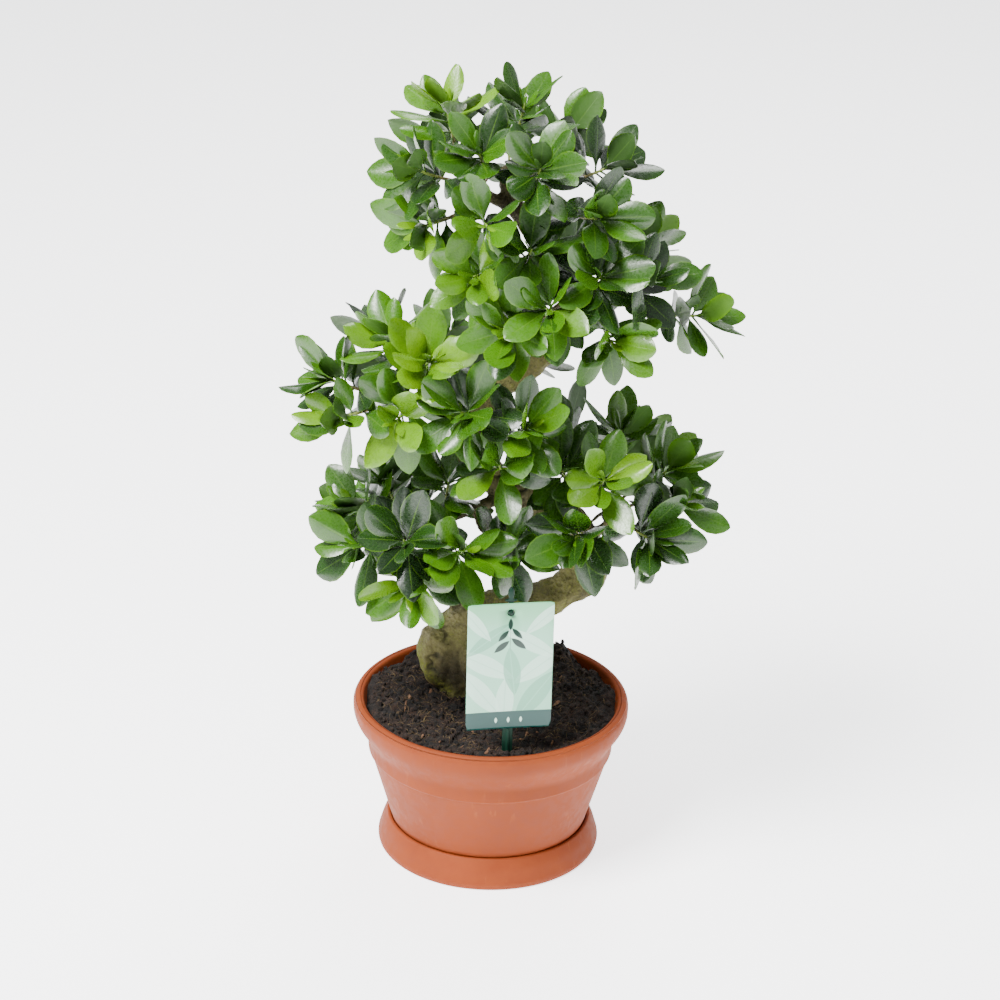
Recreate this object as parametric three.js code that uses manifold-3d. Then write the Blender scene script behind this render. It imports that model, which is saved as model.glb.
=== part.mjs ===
// A small indoor fig grown as a bonsai, in a round bowl pot on its saucer, with a care label.
// Millimetres, +Z up. The origin is the centre of the saucer's flat underside.
import * as THREE from "three";
import { mergeVertices } from "three/addons/utils/BufferGeometryUtils.js";
import Module from "manifold-3d";

const wasm = await Module();
wasm.setup();

// ---- Driving dimensions -------------------------------------------------------------------
const GAP = 0.3; // clearance between pieces that touch
const ROUND_SEGMENTS = 36; // facets round the pot, the saucer and the soil
const HOLE_SEGMENTS = 8; // facets round small holes, pegs and knobs

const POT_RADIUS = 110; // outside of the rolled rim
const POT_HEIGHT = 125;
const POT_BASE_RADIUS = 73;
const POT_WALL = 2.6;
const POT_FLOOR = 3;
const RIM_OVERHANG = 12; // how far the rim stands out past the band under it
const RIM_DROP = 33; // from the top of the rim to the top of the band
const BAND_HEIGHT = 12;
const BAND_STEP = 1.8; // how far the band stands proud of the tapered wall
const FOOT_WIDTH = 9; // ring that the pot stands on
const FOOT_HEIGHT = 2;
const DRAIN_COUNT = 5;
const DRAIN_RADIUS = 5;
const DRAIN_CIRCLE = 44;

const SAUCER_HEIGHT = 24;
const SAUCER_FLOOR = 3;
const SAUCER_WALL = 2.4;
const SAUCER_FLARE = 10; // how much wider the saucer is near the floor than at its lip

const SOIL_DROP = 8; // soil below the rim at the front
const SOIL_RISE = 5; // extra height of the soil towards the back
const SOIL_LUMP = 2.2;

const TREE_HEIGHT = 500; // from the soil to the highest twigs
const TRUNK_RADIUS = 22; // at the soil
const LIMB_RADIUS = 6;
const TWIG_RADIUS = 2.6;
const STEM_RADIUS = 1.6;
const STEM_LENGTH = 36;
const ROOT_DEPTH = 26; // how far the roots go down into the soil

const LEAF_LENGTH = 48; // with its stalk
const LEAF_WIDTH = 26;
const CROWN_SMALLER = 0.14; // share by which leaves at the top are smaller than at the foot
const LEAF_THICKNESS = 1.2; // at the keel, halfway along
const LEAF_FOLD = 0.22; // rise of each half of the blade for each unit across
const LEAF_CLEARANCE = 0.9; // free space kept round each leaf
const FACE_UP = 0.5; // how strongly leaves roll to face up

const CARD_WIDTH = 66;
const CARD_HEIGHT = 106;
const CARD_THICKNESS = 0.8;
const CARD_CORNER = 1.5;
const CARD_HOLE_RADIUS = 2.9;
const CARD_HOLE_DROP = 8; // hole centre below the card's top edge
const CARD_CLEAR_OF_SOIL = 24; // card's lower edge above the soil
const STAKE_WIDTH = 8.2;
const STAKE_THICKNESS = 1.6;
const STAKE_DEPTH = 42; // how far the stake goes down into the soil
const STAKE_RIB = 1.6; // depth of the rib on the front of the stake
const PEG_LENGTH = 4; // peg that holds the card by its hole
const WINGS_HEIGHT = 2; // cross-bar just over the card
const KNOB_HALF_HEIGHT = 5;
const KNOB_RADIUS = 2.7;
const LABEL_ACROSS = 13.5; // how far right of the pot's middle the label stands
const LABEL_INSET = 6; // stake in from the pot's inner wall, at the stake's foot
const LABEL_TURN = 0.17; // radians

// ---- Colours ------------------------------------------------------------------------------
function finish(color, roughness) {
  return new THREE.MeshStandardMaterial({ color, roughness, metalness: 0 });
}
const TERRACOTTA = finish(0xc27152, 0.6);
const PEAT = finish(0x2f231b, 0.95);
const BARK = finish(0x7c7450, 0.85);
const LEAF_GREEN = finish(0x3f8a1f, 0.35);
const CARD_MINT = finish(0xcfe6d6, 0.4);
const STAKE_GREEN = finish(0x2f5a48, 0.5);

// ---- Solids -------------------------------------------------------------------------------

// A closed three.js geometry as a manifold solid.
function solidOf(geometry) {
  const bare = new THREE.BufferGeometry();
  bare.setAttribute("position", geometry.getAttribute("position"));
  bare.setIndex(geometry.index);
  const merged = mergeVertices(bare, 1e-4);
  return solidFrom(merged.getAttribute("position").array, merged.index.array);
}

function solidFrom(vertices, triangles) {
  const mesh = new wasm.Mesh({
    numProp: 3,
    vertProperties: new Float32Array(vertices),
    triVerts: new Uint32Array(triangles),
  });
  return new wasm.Manifold(mesh);
}

function unite(solids) {
  return solids.reduce((whole, solid) => whole.add(solid));
}

// A solid as a named three.js mesh.
function pieceOf(name, solid, material) {
  const data = solid.getMesh();
  const geometry = new THREE.BufferGeometry();
  geometry.setAttribute("position", new THREE.BufferAttribute(data.vertProperties, 3));
  geometry.setIndex(new THREE.BufferAttribute(data.triVerts, 1));
  geometry.computeVertexNormals();
  const mesh = new THREE.Mesh(geometry, material);
  mesh.name = name;
  return mesh;
}

function boxOf(solid) {
  const { min, max } = solid.boundingBox();
  return new THREE.Box3(new THREE.Vector3(...min), new THREE.Vector3(...max));
}

// A profile of [radius, height] pairs from axis to axis, turned round the upright axis.
function turned(profile) {
  const points = profile.map(([radius, height]) => new THREE.Vector2(radius, height));
  return new THREE.LatheGeometry(points, ROUND_SEGMENTS).rotateX(Math.PI / 2);
}

// A capped cylinder bent along a curve. radiusAt(share, angle) gives its radius.
function bentTube(curve, radiusAt, steps, sides) {
  const tube = new THREE.CylinderGeometry(1, 1, 1, sides, steps);
  const points = curve.getSpacedPoints(steps);
  const frames = curve.computeFrenetFrames(steps, false);
  const place = tube.getAttribute("position");
  const vertex = new THREE.Vector3();
  for (let i = 0; i < place.count; i++) {
    vertex.fromBufferAttribute(place, i);
    const ring = Math.round((vertex.y + 0.5) * steps);
    const radius = radiusAt(ring / steps, Math.atan2(vertex.z, vertex.x));
    const across = vertex.x * radius;
    const along = -vertex.z * radius;
    vertex.copy(points[ring]);
    vertex.addScaledVector(frames.normals[ring], across);
    vertex.addScaledVector(frames.binormals[ring], along);
    place.setXYZ(i, vertex.x, vertex.y, vertex.z);
  }
  return solidOf(tube);
}

// The value at x of a polyline of [x, value] pairs in rising order of x.
function valueAt(pairs, x) {
  const next = pairs.findIndex(([at]) => at >= x);
  if (next < 0) return pairs[pairs.length - 1][1];
  if (next === 0) return pairs[0][1];
  const [x0, v0] = pairs[next - 1];
  const [x1, v1] = pairs[next];
  return v0 + ((v1 - v0) * (x - x0)) / (x1 - x0);
}

// ---- Saucer and pot -----------------------------------------------------------------------
const potBase = SAUCER_FLOOR + GAP;
const potTop = potBase + POT_HEIGHT;
const bandRadius = POT_RADIUS - RIM_OVERHANG;
const bandTop = POT_HEIGHT - RIM_DROP;
const bandBottom = bandTop - BAND_HEIGHT;

// The pot's outside below the rim's crest, as [height above its base, radius].
const potOutside = [
  [0, POT_BASE_RADIUS],
  [bandBottom, bandRadius - BAND_STEP],
  [bandBottom + 1.5, bandRadius],
  [bandTop, bandRadius + 0.4],
  [bandTop + RIM_DROP * 0.27, bandRadius + RIM_OVERHANG * 0.42],
  [bandTop + RIM_DROP * 0.5, POT_RADIUS - 1.2],
  [bandTop + RIM_DROP * 0.76, POT_RADIUS],
];

// The pot's inside above its floor, in the same terms.
const floorTop = FOOT_HEIGHT + POT_FLOOR;
const potInside = [
  [floorTop, POT_BASE_RADIUS - POT_WALL + 0.6],
  [bandBottom, bandRadius - BAND_STEP - POT_WALL],
  [bandTop, bandRadius - POT_WALL],
  [POT_HEIGHT - 4, POT_RADIUS - 9],
];

function pot() {
  const crest = [
    [POT_RADIUS - 0.7, POT_HEIGHT - 4],
    [POT_RADIUS - 2.6, POT_HEIGHT - 1],
    [POT_RADIUS - 5, POT_HEIGHT],
    [POT_RADIUS - 7.6, POT_HEIGHT - 1],
  ];
  const foot = [
    [0, FOOT_HEIGHT],
    [POT_BASE_RADIUS - FOOT_WIDTH, FOOT_HEIGHT],
    [POT_BASE_RADIUS - FOOT_WIDTH + 1, 0],
  ];
  const outside = potOutside.map(([height, radius]) => [radius, height]);
  const inside = potInside.map(([height, radius]) => [radius, height]).reverse();
  const profile = [...foot, ...outside, ...crest, ...inside, [0, floorTop]];
  let body = solidOf(turned(profile));
  for (let i = 0; i < DRAIN_COUNT; i++) {
    const angle = (2 * Math.PI * (i + 0.5)) / DRAIN_COUNT;
    const drill = new THREE.CylinderGeometry(DRAIN_RADIUS, DRAIN_RADIUS, 4 * POT_FLOOR, HOLE_SEGMENTS);
    drill.rotateX(Math.PI / 2);
    drill.translate(DRAIN_CIRCLE * Math.cos(angle), DRAIN_CIRCLE * Math.sin(angle), POT_FLOOR);
    body = body.subtract(solidOf(drill));
  }
  return body.translate([0, 0, potBase]);
}

// The saucer's skirt leans in to a lip that stands close round the pot.
function saucer() {
  const lip = valueAt(potOutside, SAUCER_HEIGHT - potBase) + 2 * GAP;
  const wide = lip + SAUCER_FLARE;
  const profile = [
    [0, 0],
    [wide - 1.5, 0],
    [wide - 0.5, 1.2],
    [wide, 3.6],
    [wide - 1.6, SAUCER_HEIGHT * 0.38],
    [wide - 3.6, SAUCER_HEIGHT * 0.66],
    [lip + 2.6, SAUCER_HEIGHT - 1.2],
    [lip + 1.6, SAUCER_HEIGHT],
    [lip + 0.4, SAUCER_HEIGHT],
    [lip, SAUCER_HEIGHT - 1],
    [wide - 3.6 - SAUCER_WALL, SAUCER_HEIGHT * 0.6],
    [wide - 1 - SAUCER_WALL, SAUCER_FLOOR],
    [0, SAUCER_FLOOR],
  ];
  return solidOf(turned(profile));
}

// ---- Soil ---------------------------------------------------------------------------------
const soilFront = potTop - SOIL_DROP;

// Height of the soil's surface: it rises to the back, with soft lumps.
function soilHeight(x, y) {
  const back = THREE.MathUtils.smoothstep(y / POT_RADIUS, -0.6, 0.8);
  const broad = Math.sin(x * 0.09 + 1.3) * Math.cos(y * 0.075 - 0.4);
  const lumps = broad + 0.6 * Math.sin(x * 0.17 - y * 0.13);
  return soilFront + SOIL_RISE * back + SOIL_LUMP * lumps;
}

// The soil fills the pot, and its top vertices are lifted to the surface.
function soil() {
  const floor = potBase + floorTop + GAP;
  const inner = (height) => valueAt(potInside, height - potBase) - GAP;
  const shares = [0.9, 0.72, 0.52, 0.3];
  const mark = potTop; // flat stand-in height of the vertices that belong to the surface
  const profile = [
    [0, floor],
    [inner(floor), floor],
    [inner(potBase + bandBottom), potBase + bandBottom],
    [inner(potBase + bandTop), potBase + bandTop],
    [1, mark],
    ...shares.map((share) => [share, mark]),
    [0, mark],
  ];
  const shape = turned(profile);
  const place = shape.getAttribute("position");
  const edge = inner(soilFront);
  for (let i = 0; i < place.count; i++) {
    if (place.getZ(i) < mark - 1e-3) continue;
    const x = place.getX(i) * edge;
    const y = place.getY(i) * edge;
    const share = Math.hypot(x, y) / edge;
    const atWall = share > 0.99;
    const height = soilHeight(x, y) - (atWall ? SOIL_LUMP : 0);
    const pull = atWall ? inner(height) / edge : 1;
    place.setXYZ(i, x * pull, y * pull, height);
  }
  return solidOf(shape);
}

// ---- Label --------------------------------------------------------------------------------

// The label is made upright in its own frame: x across, y to the back, z up from the soil.
function card() {
  const half = CARD_WIDTH / 2;
  const low = CARD_CLEAR_OF_SOIL;
  const high = low + CARD_HEIGHT;
  const c = CARD_CORNER;
  const outline = new THREE.Shape();
  outline.moveTo(-half + c, low);
  outline.lineTo(half - c, low);
  outline.lineTo(half, low + c);
  outline.lineTo(half, high - c);
  outline.lineTo(half - c, high);
  outline.lineTo(-half + c, high);
  outline.lineTo(-half, high - c);
  outline.lineTo(-half, low + c);
  const hole = new THREE.Path();
  hole.absarc(0, high - CARD_HOLE_DROP, CARD_HOLE_RADIUS, 0, 2 * Math.PI, true);
  outline.holes.push(hole);
  const options = { depth: CARD_THICKNESS, bevelEnabled: false, curveSegments: 5 };
  const sheet = new THREE.ExtrudeGeometry(outline, options).rotateX(Math.PI / 2);
  return solidOf(sheet.translate(0, -GAP, 0));
}

// The stake's flat strip, pointed below and narrow above, grown on all sides by extra.
function stakeStrip(extra) {
  const cardTop = CARD_CLEAR_OF_SOIL + CARD_HEIGHT;
  const half = STAKE_WIDTH / 2 + extra;
  const neck = half * 0.45;
  const strip = new THREE.Shape();
  strip.moveTo(0, -STAKE_DEPTH - 3 * extra);
  strip.lineTo(half, -STAKE_DEPTH + 3 * half);
  strip.lineTo(half, cardTop - 3 * half);
  strip.lineTo(neck, cardTop - 1.5 * half);
  strip.lineTo(neck, cardTop + 4);
  strip.lineTo(-neck, cardTop + 4);
  strip.lineTo(-neck, cardTop - 1.5 * half);
  strip.lineTo(-half, cardTop - 3 * half);
  strip.lineTo(-half, -STAKE_DEPTH + 3 * half);
  const options = { depth: STAKE_THICKNESS + 2 * extra, bevelEnabled: false };
  const blade = new THREE.ExtrudeGeometry(strip, options).rotateX(Math.PI / 2);
  blade.translate(0, STAKE_THICKNESS + extra, 0);
  const ribHeight = CARD_CLEAR_OF_SOIL + STAKE_DEPTH - 3 * STAKE_WIDTH;
  const rib = new THREE.BoxGeometry(STAKE_WIDTH * 0.22 + 2 * extra, STAKE_RIB + 2 * extra, ribHeight);
  rib.translate(0, -STAKE_RIB / 4, CARD_CLEAR_OF_SOIL - 1 - ribHeight / 2);
  return unite([blade, rib].map(solidOf));
}

// The strip with a peg through the card's hole, and wings and a knob above the card.
function stake() {
  const cardTop = CARD_CLEAR_OF_SOIL + CARD_HEIGHT;
  const middle = STAKE_THICKNESS / 2;
  const pegRadius = CARD_HOLE_RADIUS - 2 * GAP;
  const peg = new THREE.CylinderGeometry(pegRadius, pegRadius * 0.8, PEG_LENGTH, HOLE_SEGMENTS);
  peg.translate(0, -PEG_LENGTH / 5, cardTop - CARD_HOLE_DROP);
  const wings = new THREE.BoxGeometry(STAKE_WIDTH * 1.1, STAKE_THICKNESS - 0.2, WINGS_HEIGHT);
  wings.translate(0, middle, cardTop + WINGS_HEIGHT - 0.2);
  const knob = new THREE.SphereGeometry(1, HOLE_SEGMENTS, 5).rotateX(Math.PI / 2);
  knob.scale(KNOB_RADIUS, KNOB_RADIUS * 0.8, KNOB_HALF_HEIGHT);
  knob.translate(0, middle, cardTop + WINGS_HEIGHT + 1.2 * KNOB_HALF_HEIGHT);
  return unite([stakeStrip(0), ...[peg, wings, knob].map(solidOf)]);
}

// ---- Wood ---------------------------------------------------------------------------------

// Places in the tree are [across, back, up] in hundredths of TREE_HEIGHT, from the soil's level
// in the middle of the pot.
const treeFoot = soilFront + SOIL_RISE / 2;
function treePoint([across, back, up]) {
  const unit = TREE_HEIGHT / 100;
  return new THREE.Vector3(across * unit, back * unit, treeFoot + up * unit);
}
function treeCurve(places) {
  return new THREE.CatmullRomCurve3(places.map(treePoint), false, "centripetal");
}

// The trunk's S, with its girth as a share of TRUNK_RADIUS.
const TRUNK = [
  [-5.2, 5.2, 1, 0.95],
  [-5.4, 5.0, 7, 0.92],
  [-4.2, 4.6, 12.2, 0.8],
  [0, 4.2, 14.5, 0.68],
  [5.4, 4, 15.5, 0.66],
  [10.4, 4, 17.1, 0.72],
  [14.1, 4, 20.4, 0.8],
  [14.7, 3.6, 24.8, 0.78],
  [12, 2.8, 29.4, 0.68],
  [6, 2, 33.4, 0.64],
  [0, 1.2, 37.6, 0.62],
  [-3.8, 0.8, 42.6, 0.62],
  [-4, 0.8, 48.2, 0.6],
  [-1.4, 1.2, 52.8, 0.6],
  [3.8, 1.6, 56.6, 0.58],
  [8.8, 2, 60.8, 0.56],
  [11.4, 2, 65.8, 0.52],
  [10, 1.6, 71.8, 0.46],
  [5, 1.2, 77.8, 0.4],
  [0.8, 0.8, 83.6, 0.32],
  [0.4, 0.6, 88, 0.22],
];

// Swollen root lobes, each from inside the trunk down into the soil.
const ROOT_LOBES = [
  { path: [[-5, 5.2, 13], [-7.8, 4.6, 8.4], [-8, 4.8, 3.6], [-6.8, 5, -1]], girth: 0.92 },
  { path: [[-3.6, 4.6, 12], [-2.4, 2.2, 7], [-2.2, 1.8, 2], [-3, 2.6, -1]], girth: 0.74 },
  { path: [[-3.4, 5.6, 12], [0.2, 7.4, 7], [1.6, 8.4, 2.4], [1.2, 8.6, -1]], girth: 0.66 },
  { path: [[-5.6, 6, 12], [-6.4, 9.4, 6.5], [-6.6, 11, 2], [-6.4, 11.4, -1]], girth: 0.6 },
];

// The trunk and its roots, grown all round by extra.
function trunk(extra) {
  const below = [TRUNK[0][0], TRUNK[0][1], (-ROOT_DEPTH * 100) / TREE_HEIGHT];
  const curve = treeCurve([below, ...TRUNK]);
  const last = TRUNK.length;
  const girths = [[0, 0.7], ...TRUNK.map((row, i) => [(i + 1) / last, row[3]])];
  const parts = 8 * last;
  const lengths = curve.getLengths(parts);
  const girthAt = girths.map(([share, girth]) => {
    return [lengths[Math.round(share * parts)] / lengths[parts], girth];
  });
  const radiusAt = (share, angle) => {
    const knots = 1 + 0.07 * Math.sin(3 * angle + 30 * share) + 0.05 * Math.sin(2 * angle - 47 * share);
    return TRUNK_RADIUS * valueAt(girthAt, share) * knots + extra;
  };
  const lobes = ROOT_LOBES.map(({ path, girth }) => {
    const bulge = [[0, 0.45], [0.3, 0.9], [0.55, 1], [0.8, 0.75], [1, 0.3]];
    const swell = (share) => TRUNK_RADIUS * girth * valueAt(bulge, share) + extra;
    return bentTube(treeCurve(path), swell, 6, 8);
  });
  return unite([bentTube(curve, radiusAt, 42, 9), ...lobes]);
}

// Each pad of foliage: its limb from the trunk outwards, and its shoots, each as the place
// where it leaves its twig, the direction it grows in, and its number of leaves.
const PADS = {
  lower_left: {
    limb: [[3, 1.6, 35.4], [-5, -1.6, 33.4], [-12, -1, 29.6]],
    shoots: [
      [-16, 0, 29.5, -1, -0.1, 0.5, 8],
      [-15.5, -5, 29.5, -1, -0.6, 0, 8],
      [-14, 3, 29.5, -0.5, 0.1, 0.8, 8],
      [-12.5, -6.5, 30, -0.2, -1, 0.4, 8],
      [-11, -5.5, 27.5, -0.3, -0.8, -0.6, 7],
      [-7, -7.5, 29, 0.4, -1, 0.4, 8],
      [-8, 0.5, 32, 0.1, -0.4, 1, 7],
      [-1, -4.5, 30, 0.6, -0.8, -0.1, 7],
      [-11, 7.5, 26.5, -0.2, 1, 0.2, 8],
      [-15.5, 5, 28, -0.8, 0.7, 0.2, 8],
    ],
  },
  lower_right: {
    limb: [[14, 3.2, 27.4], [17.4, 1, 30.6], [18.6, 0, 34]],
    shoots: [
      [11.5, -1.5, 37.5, -0.3, -0.7, 0.8, 8],
      [15, -6, 39.5, 0.2, -1, 0.6, 8],
      [18.5, 3, 37.5, 0.1, 0.2, 1, 8],
      [21, 1, 36.5, 0.9, 0, 0.5, 8],
      [21.5, -1, 35, 1, -0.3, 0.1, 8],
      [19.5, -5, 34.2, 0.7, -0.8, -0.3, 8],
      [14, -8, 34.5, -0.3, -1, 0, 8],
      [19, 8, 35.5, 0.5, 1, 0.3, 8],
      [12, 7.5, 38, -0.2, 1, 0.5, 7],
    ],
  },
  middle_left: {
    limb: [[-4, 0.8, 47], [-9.6, -1, 49.6], [-14.4, -1, 52]],
    shoots: [
      [-19.5, -1, 52.5, -1, -0.2, 0.3, 8],
      [-19, -5, 51.5, -0.8, -0.7, -0.1, 8],
      [-14.5, -1.5, 55.5, -0.3, -0.3, 1, 8],
      [-12, -6, 58, 0.3, -0.9, 0.5, 8],
      [-13.5, -5.5, 53.5, -0.2, -0.9, -0.3, 7],
      [-15, 6, 54, -0.5, 0.9, 0.4, 8],
      [-8.5, 8, 53.5, 0.1, 1, 0.5, 7],
    ],
  },
  middle_front: {
    limb: [[-3.9, 0.8, 44.4], [-2.4, -3, 45.4], [-1, -5.4, 47]],
    shoots: [
      [-2.5, -9, 52.5, -0.5, -1, 0.3, 8],
      [2.5, -8, 49, 0.3, -1, 0.5, 7],
      [0.5, -7.5, 43, 0, -1, 0.4, 8],
    ],
  },
  middle_back: {
    limb: [[-3.9, 0.8, 45], [-3, 5, 47], [-1.6, 8.6, 49]],
    shoots: [
      [-4.5, 12, 48.5, -0.4, 1, 0.4, 8],
      [1.5, 11.5, 51, 0.5, 1, 0.3, 8],
    ],
  },
  upper_front: {
    limb: [[11.2, 2, 67.4], [10.4, -2, 68.8], [9.4, -5, 69.4]],
    shoots: [
      [12.5, -6.5, 72, 0.3, -1, 0.5, 8],
      [8.5, -9, 69.5, -0.3, -1, 0.2, 8],
      [4, -7.5, 66, -0.5, -0.9, 0.1, 8],
    ],
  },
  upper_left: {
    limb: [[9, 1.6, 73], [4, -0.6, 73.6], [-0.4, -2.6, 73.8]],
    shoots: [
      [-1.5, -5, 74, -0.4, -1, 0, 8],
      [3, -6, 75.5, 0.2, -1, 0.5, 7],
    ],
  },
  upper_right: {
    limb: [[11.4, 2, 64.4], [15.6, 1.4, 66.6], [19, 0.6, 67.6]],
    shoots: [
      [14.5, 2, 71.5, 0.9, 0.1, 0.6, 8],
      [17.5, -3.5, 70, 0.7, -0.8, 0.5, 8],
      [23.5, 0, 66, 1, -0.1, -0.1, 8],
      [14.8, -5, 66.5, 0.2, -0.9, -0.3, 8],
      [18, 7.5, 68.5, 0.6, 0.9, 0.4, 8],
      [10.5, 9, 69, -0.1, 1, 0.4, 8],
    ],
  },
  crown_left: {
    limb: [[2, 0.8, 81.6], [-2.6, -0.6, 84], [-5, -1, 86.4]],
    shoots: [
      [-7, -1, 90, -0.25, -0.1, 1, 8],
      [-7, -4.5, 87, -1, -0.5, 0.3, 7],
      [-6.5, -4, 82, -0.9, -0.6, -0.3, 8],
      [-3, -7, 82.5, 0.1, -1, 0, 7],
      [-2.5, -4.5, 87.5, -0.2, -0.8, 0.8, 7],
      [-6.5, 5.5, 85.5, -0.6, 0.9, 0.5, 8],
    ],
  },
  crown_right: {
    limb: [[4.6, 1.2, 78.4], [6.2, 0.4, 82.6], [4.4, 0, 86.8]],
    shoots: [
      [1, 0.5, 90, 0.25, -0.1, 1, 8],
      [4, -6, 87, 0.2, -1, 0.6, 8],
      [9, 0, 86, 1, -0.1, 0.3, 8],
      [10, -5, 82.5, 0.7, -1, 0.1, 8],
      [6.5, 6.5, 86, 0.5, 0.8, 0.6, 8],
      [1, 9.5, 83.5, -0.1, 1, 0.5, 8],
    ],
  },
};

// A unit vector square to a stem, from which turns round the stem are counted.
function stemSide(stem) {
  const side = new THREE.Vector3(0, 0, 1).cross(stem);
  return side.length() < 0.1 ? new THREE.Vector3(1, 0, 0).cross(stem).normalize() : side.normalize();
}

// One shoot's start, direction and the curve of its stem, which turns up a little.
function shootStem([across, back, up, dx, dy, dz, count]) {
  const start = treePoint([across, back, up]);
  const towards = new THREE.Vector3(dx, dy, dz).normalize();
  const tip = start.clone().addScaledVector(towards, STEM_LENGTH);
  tip.z += 0.12 * STEM_LENGTH;
  const middle = start.clone().addScaledVector(towards, STEM_LENGTH / 2);
  return { start, towards, count, curve: new THREE.QuadraticBezierCurve3(start, middle, tip) };
}

// A twig leaves the limb at its nearest point and ends just short of the shoot, in line with it.
function twig(limb, { start, towards }) {
  const nearest = limb
    .getPoints(10)
    .slice(2)
    .reduce((a, b) => (a.distanceTo(start) < b.distanceTo(start) ? a : b));
  const end = start.clone().addScaledVector(towards, -GAP);
  const reach = nearest.distanceTo(end) / 2;
  const bend = end.clone().addScaledVector(towards, -reach);
  const curve = new THREE.QuadraticBezierCurve3(nearest, bend, end);
  const taper = (share) => THREE.MathUtils.lerp(TWIG_RADIUS, STEM_RADIUS, share);
  return bentTube(curve, taper, 2, 4);
}

function limbWithTwigs({ limb, shoots }) {
  const curve = treeCurve(limb);
  const taper = (share) => LIMB_RADIUS * (1 - 0.45 * share);
  const twigs = shoots.map((row) => twig(curve, shootStem(row)));
  return unite([bentTube(curve, taper, 4, 6), ...twigs]);
}

// ---- Leaves -------------------------------------------------------------------------------

// The blade's outline as [share of length, share of width]: one half, from base to tip.
const LEAF_OUTLINE = [
  [0.4, 0.4],
  [0.74, 0.42],
];

// pose holds a leaf's base on the stem, the unit vectors along, across and up, and its size.
// The margin's points run right edge, tip, left edge, raised by the fold and by lift.
function leafMargin(pose, lift, extra) {
  const length = LEAF_LENGTH * pose.size;
  const width = LEAF_WIDTH * pose.size;
  const right = LEAF_OUTLINE.map(([x, y]) => [x * length, y * width + extra]);
  const left = right.map(([x, y]) => [x, -y]).reverse();
  return [...right, [length + extra, 0], ...left].map(([x, y]) => {
    const point = pose.base.clone().addScaledVector(pose.along, x);
    return point.addScaledVector(pose.across, y).addScaledVector(pose.up, LEAF_FOLD * Math.abs(y) + lift);
  });
}

// A leaf grown out of four corners of its stem, low left, low right, high right, high left: a
// folded top face and an underside with a keel halfway, which meet in a sharp margin.
function leafTriangles([lowLeft, lowRight, highRight, highLeft], margin, keel) {
  const [right, , tip] = margin;
  const left = margin[margin.length - 1];
  const triangles = [tip, highRight, highLeft, lowRight, highRight, right, lowLeft, left, highLeft];
  const top = [highRight, ...margin, highLeft];
  for (let i = 0; i < top.length - 1; i++)
    if (top[i] !== tip && top[i + 1] !== tip) triangles.push(tip, top[i + 1], top[i]);
  const under = [lowRight, ...margin, lowLeft];
  under.forEach((point, i) => triangles.push(keel, point, under[(i + 1) % under.length]));
  return triangles;
}

// The space that a leaf takes up, as a folded slab: foot is half the height of its base.
function leafRoom(pose, extra, foot) {
  const half = STEM_RADIUS / 2 + extra;
  const corner = (across, up) =>
    pose.base.clone().addScaledVector(pose.across, across).addScaledVector(pose.up, up);
  const over = [corner(half, foot), ...leafMargin(pose, extra, extra), corner(-half, foot)];
  const below = [corner(half, -foot)];
  below.push(...leafMargin(pose, -LEAF_THICKNESS - extra, extra), corner(-half, -foot));
  const points = [...over, ...below];
  const count = over.length;
  const tip = (count - 1) / 2;
  const triangles = [];
  for (let i = 0; i < count; i++) {
    const next = (i + 1) % count;
    triangles.push(i + count, i, next, i + count, next, next + count);
    if (i === tip || next === tip) continue;
    triangles.push(tip, next, i, tip + count, i + count, next + count);
  }
  return solidFrom(points.flatMap((point) => point.toArray()), triangles);
}

// How a leaf stands at a place on the stem: turned round the stem, opened away from it, and
// rolled part of the way to face up.
function leafPose(curve, share, turn, open, size) {
  const base = curve.getPointAt(share);
  const stem = curve.getTangentAt(share);
  const radial = stemSide(stem).applyAxisAngle(stem, turn);
  const along = stem.clone().multiplyScalar(Math.cos(open)).addScaledVector(radial, Math.sin(open));
  const up = stem.clone().multiplyScalar(Math.sin(open)).addScaledVector(radial, -Math.cos(open));
  const sky = new THREE.Vector3(0, 0, 1).addScaledVector(along, -along.z);
  up.addScaledVector(sky, FACE_UP).normalize();
  const across = up.clone().cross(along);
  return { base, along, across, up, size };
}

// A repeatable source of numbers between 0 and 1.
function randomSource(seed) {
  let state = seed;
  return () => {
    state = (state + 0x6d2b79f5) | 0;
    let mixed = Math.imul(state ^ (state >>> 15), state | 1);
    mixed ^= mixed + Math.imul(mixed ^ (mixed >>> 7), mixed | 61);
    return ((mixed ^ (mixed >>> 14)) >>> 0) / 4294967296;
  };
}

// Stems have five sides, and each leaf grows from the second side on from the last one's.
const STEM_SIDES = 5;
const LEAF_SIDE_STEP = 2;
const TURN_PER_LEAF = (LEAF_SIDE_STEP * 2 * Math.PI) / STEM_SIDES;

// Small turns of a leaf about its stem and outwards, nearest to its own place first.
const NUDGES = [];
for (const turn of [0, 0.17, -0.17, 0.34, -0.34, 0.52, -0.52, 0.7, -0.7])
  for (const open of [0, 0.15, -0.15, 0.32, -0.32]) NUDGES.push([turn, open]);
NUDGES.sort((a, b) => Math.hypot(...a) - Math.hypot(...b));
// Shares of a leaf's size to try in turn where space is short.
const SHRINKS = [1, 0.86, 0.72, 0.58, 0.45, 0.33, 0.24];

// What leaves keep clear of, by name: each entry is a solid and its box.
const obstacles = new Map();
function keepClearOf(name, solid) {
  obstacles.set(name, { solid, box: boxOf(solid) });
}

function touches(room, others) {
  const box = boxOf(room);
  return others.some((other) => {
    if (!box.intersectsBox(other.box)) return false;
    const common = room.intersect(other.solid);
    const empty = common.isEmpty();
    common.delete();
    return !empty;
  });
}

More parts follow.
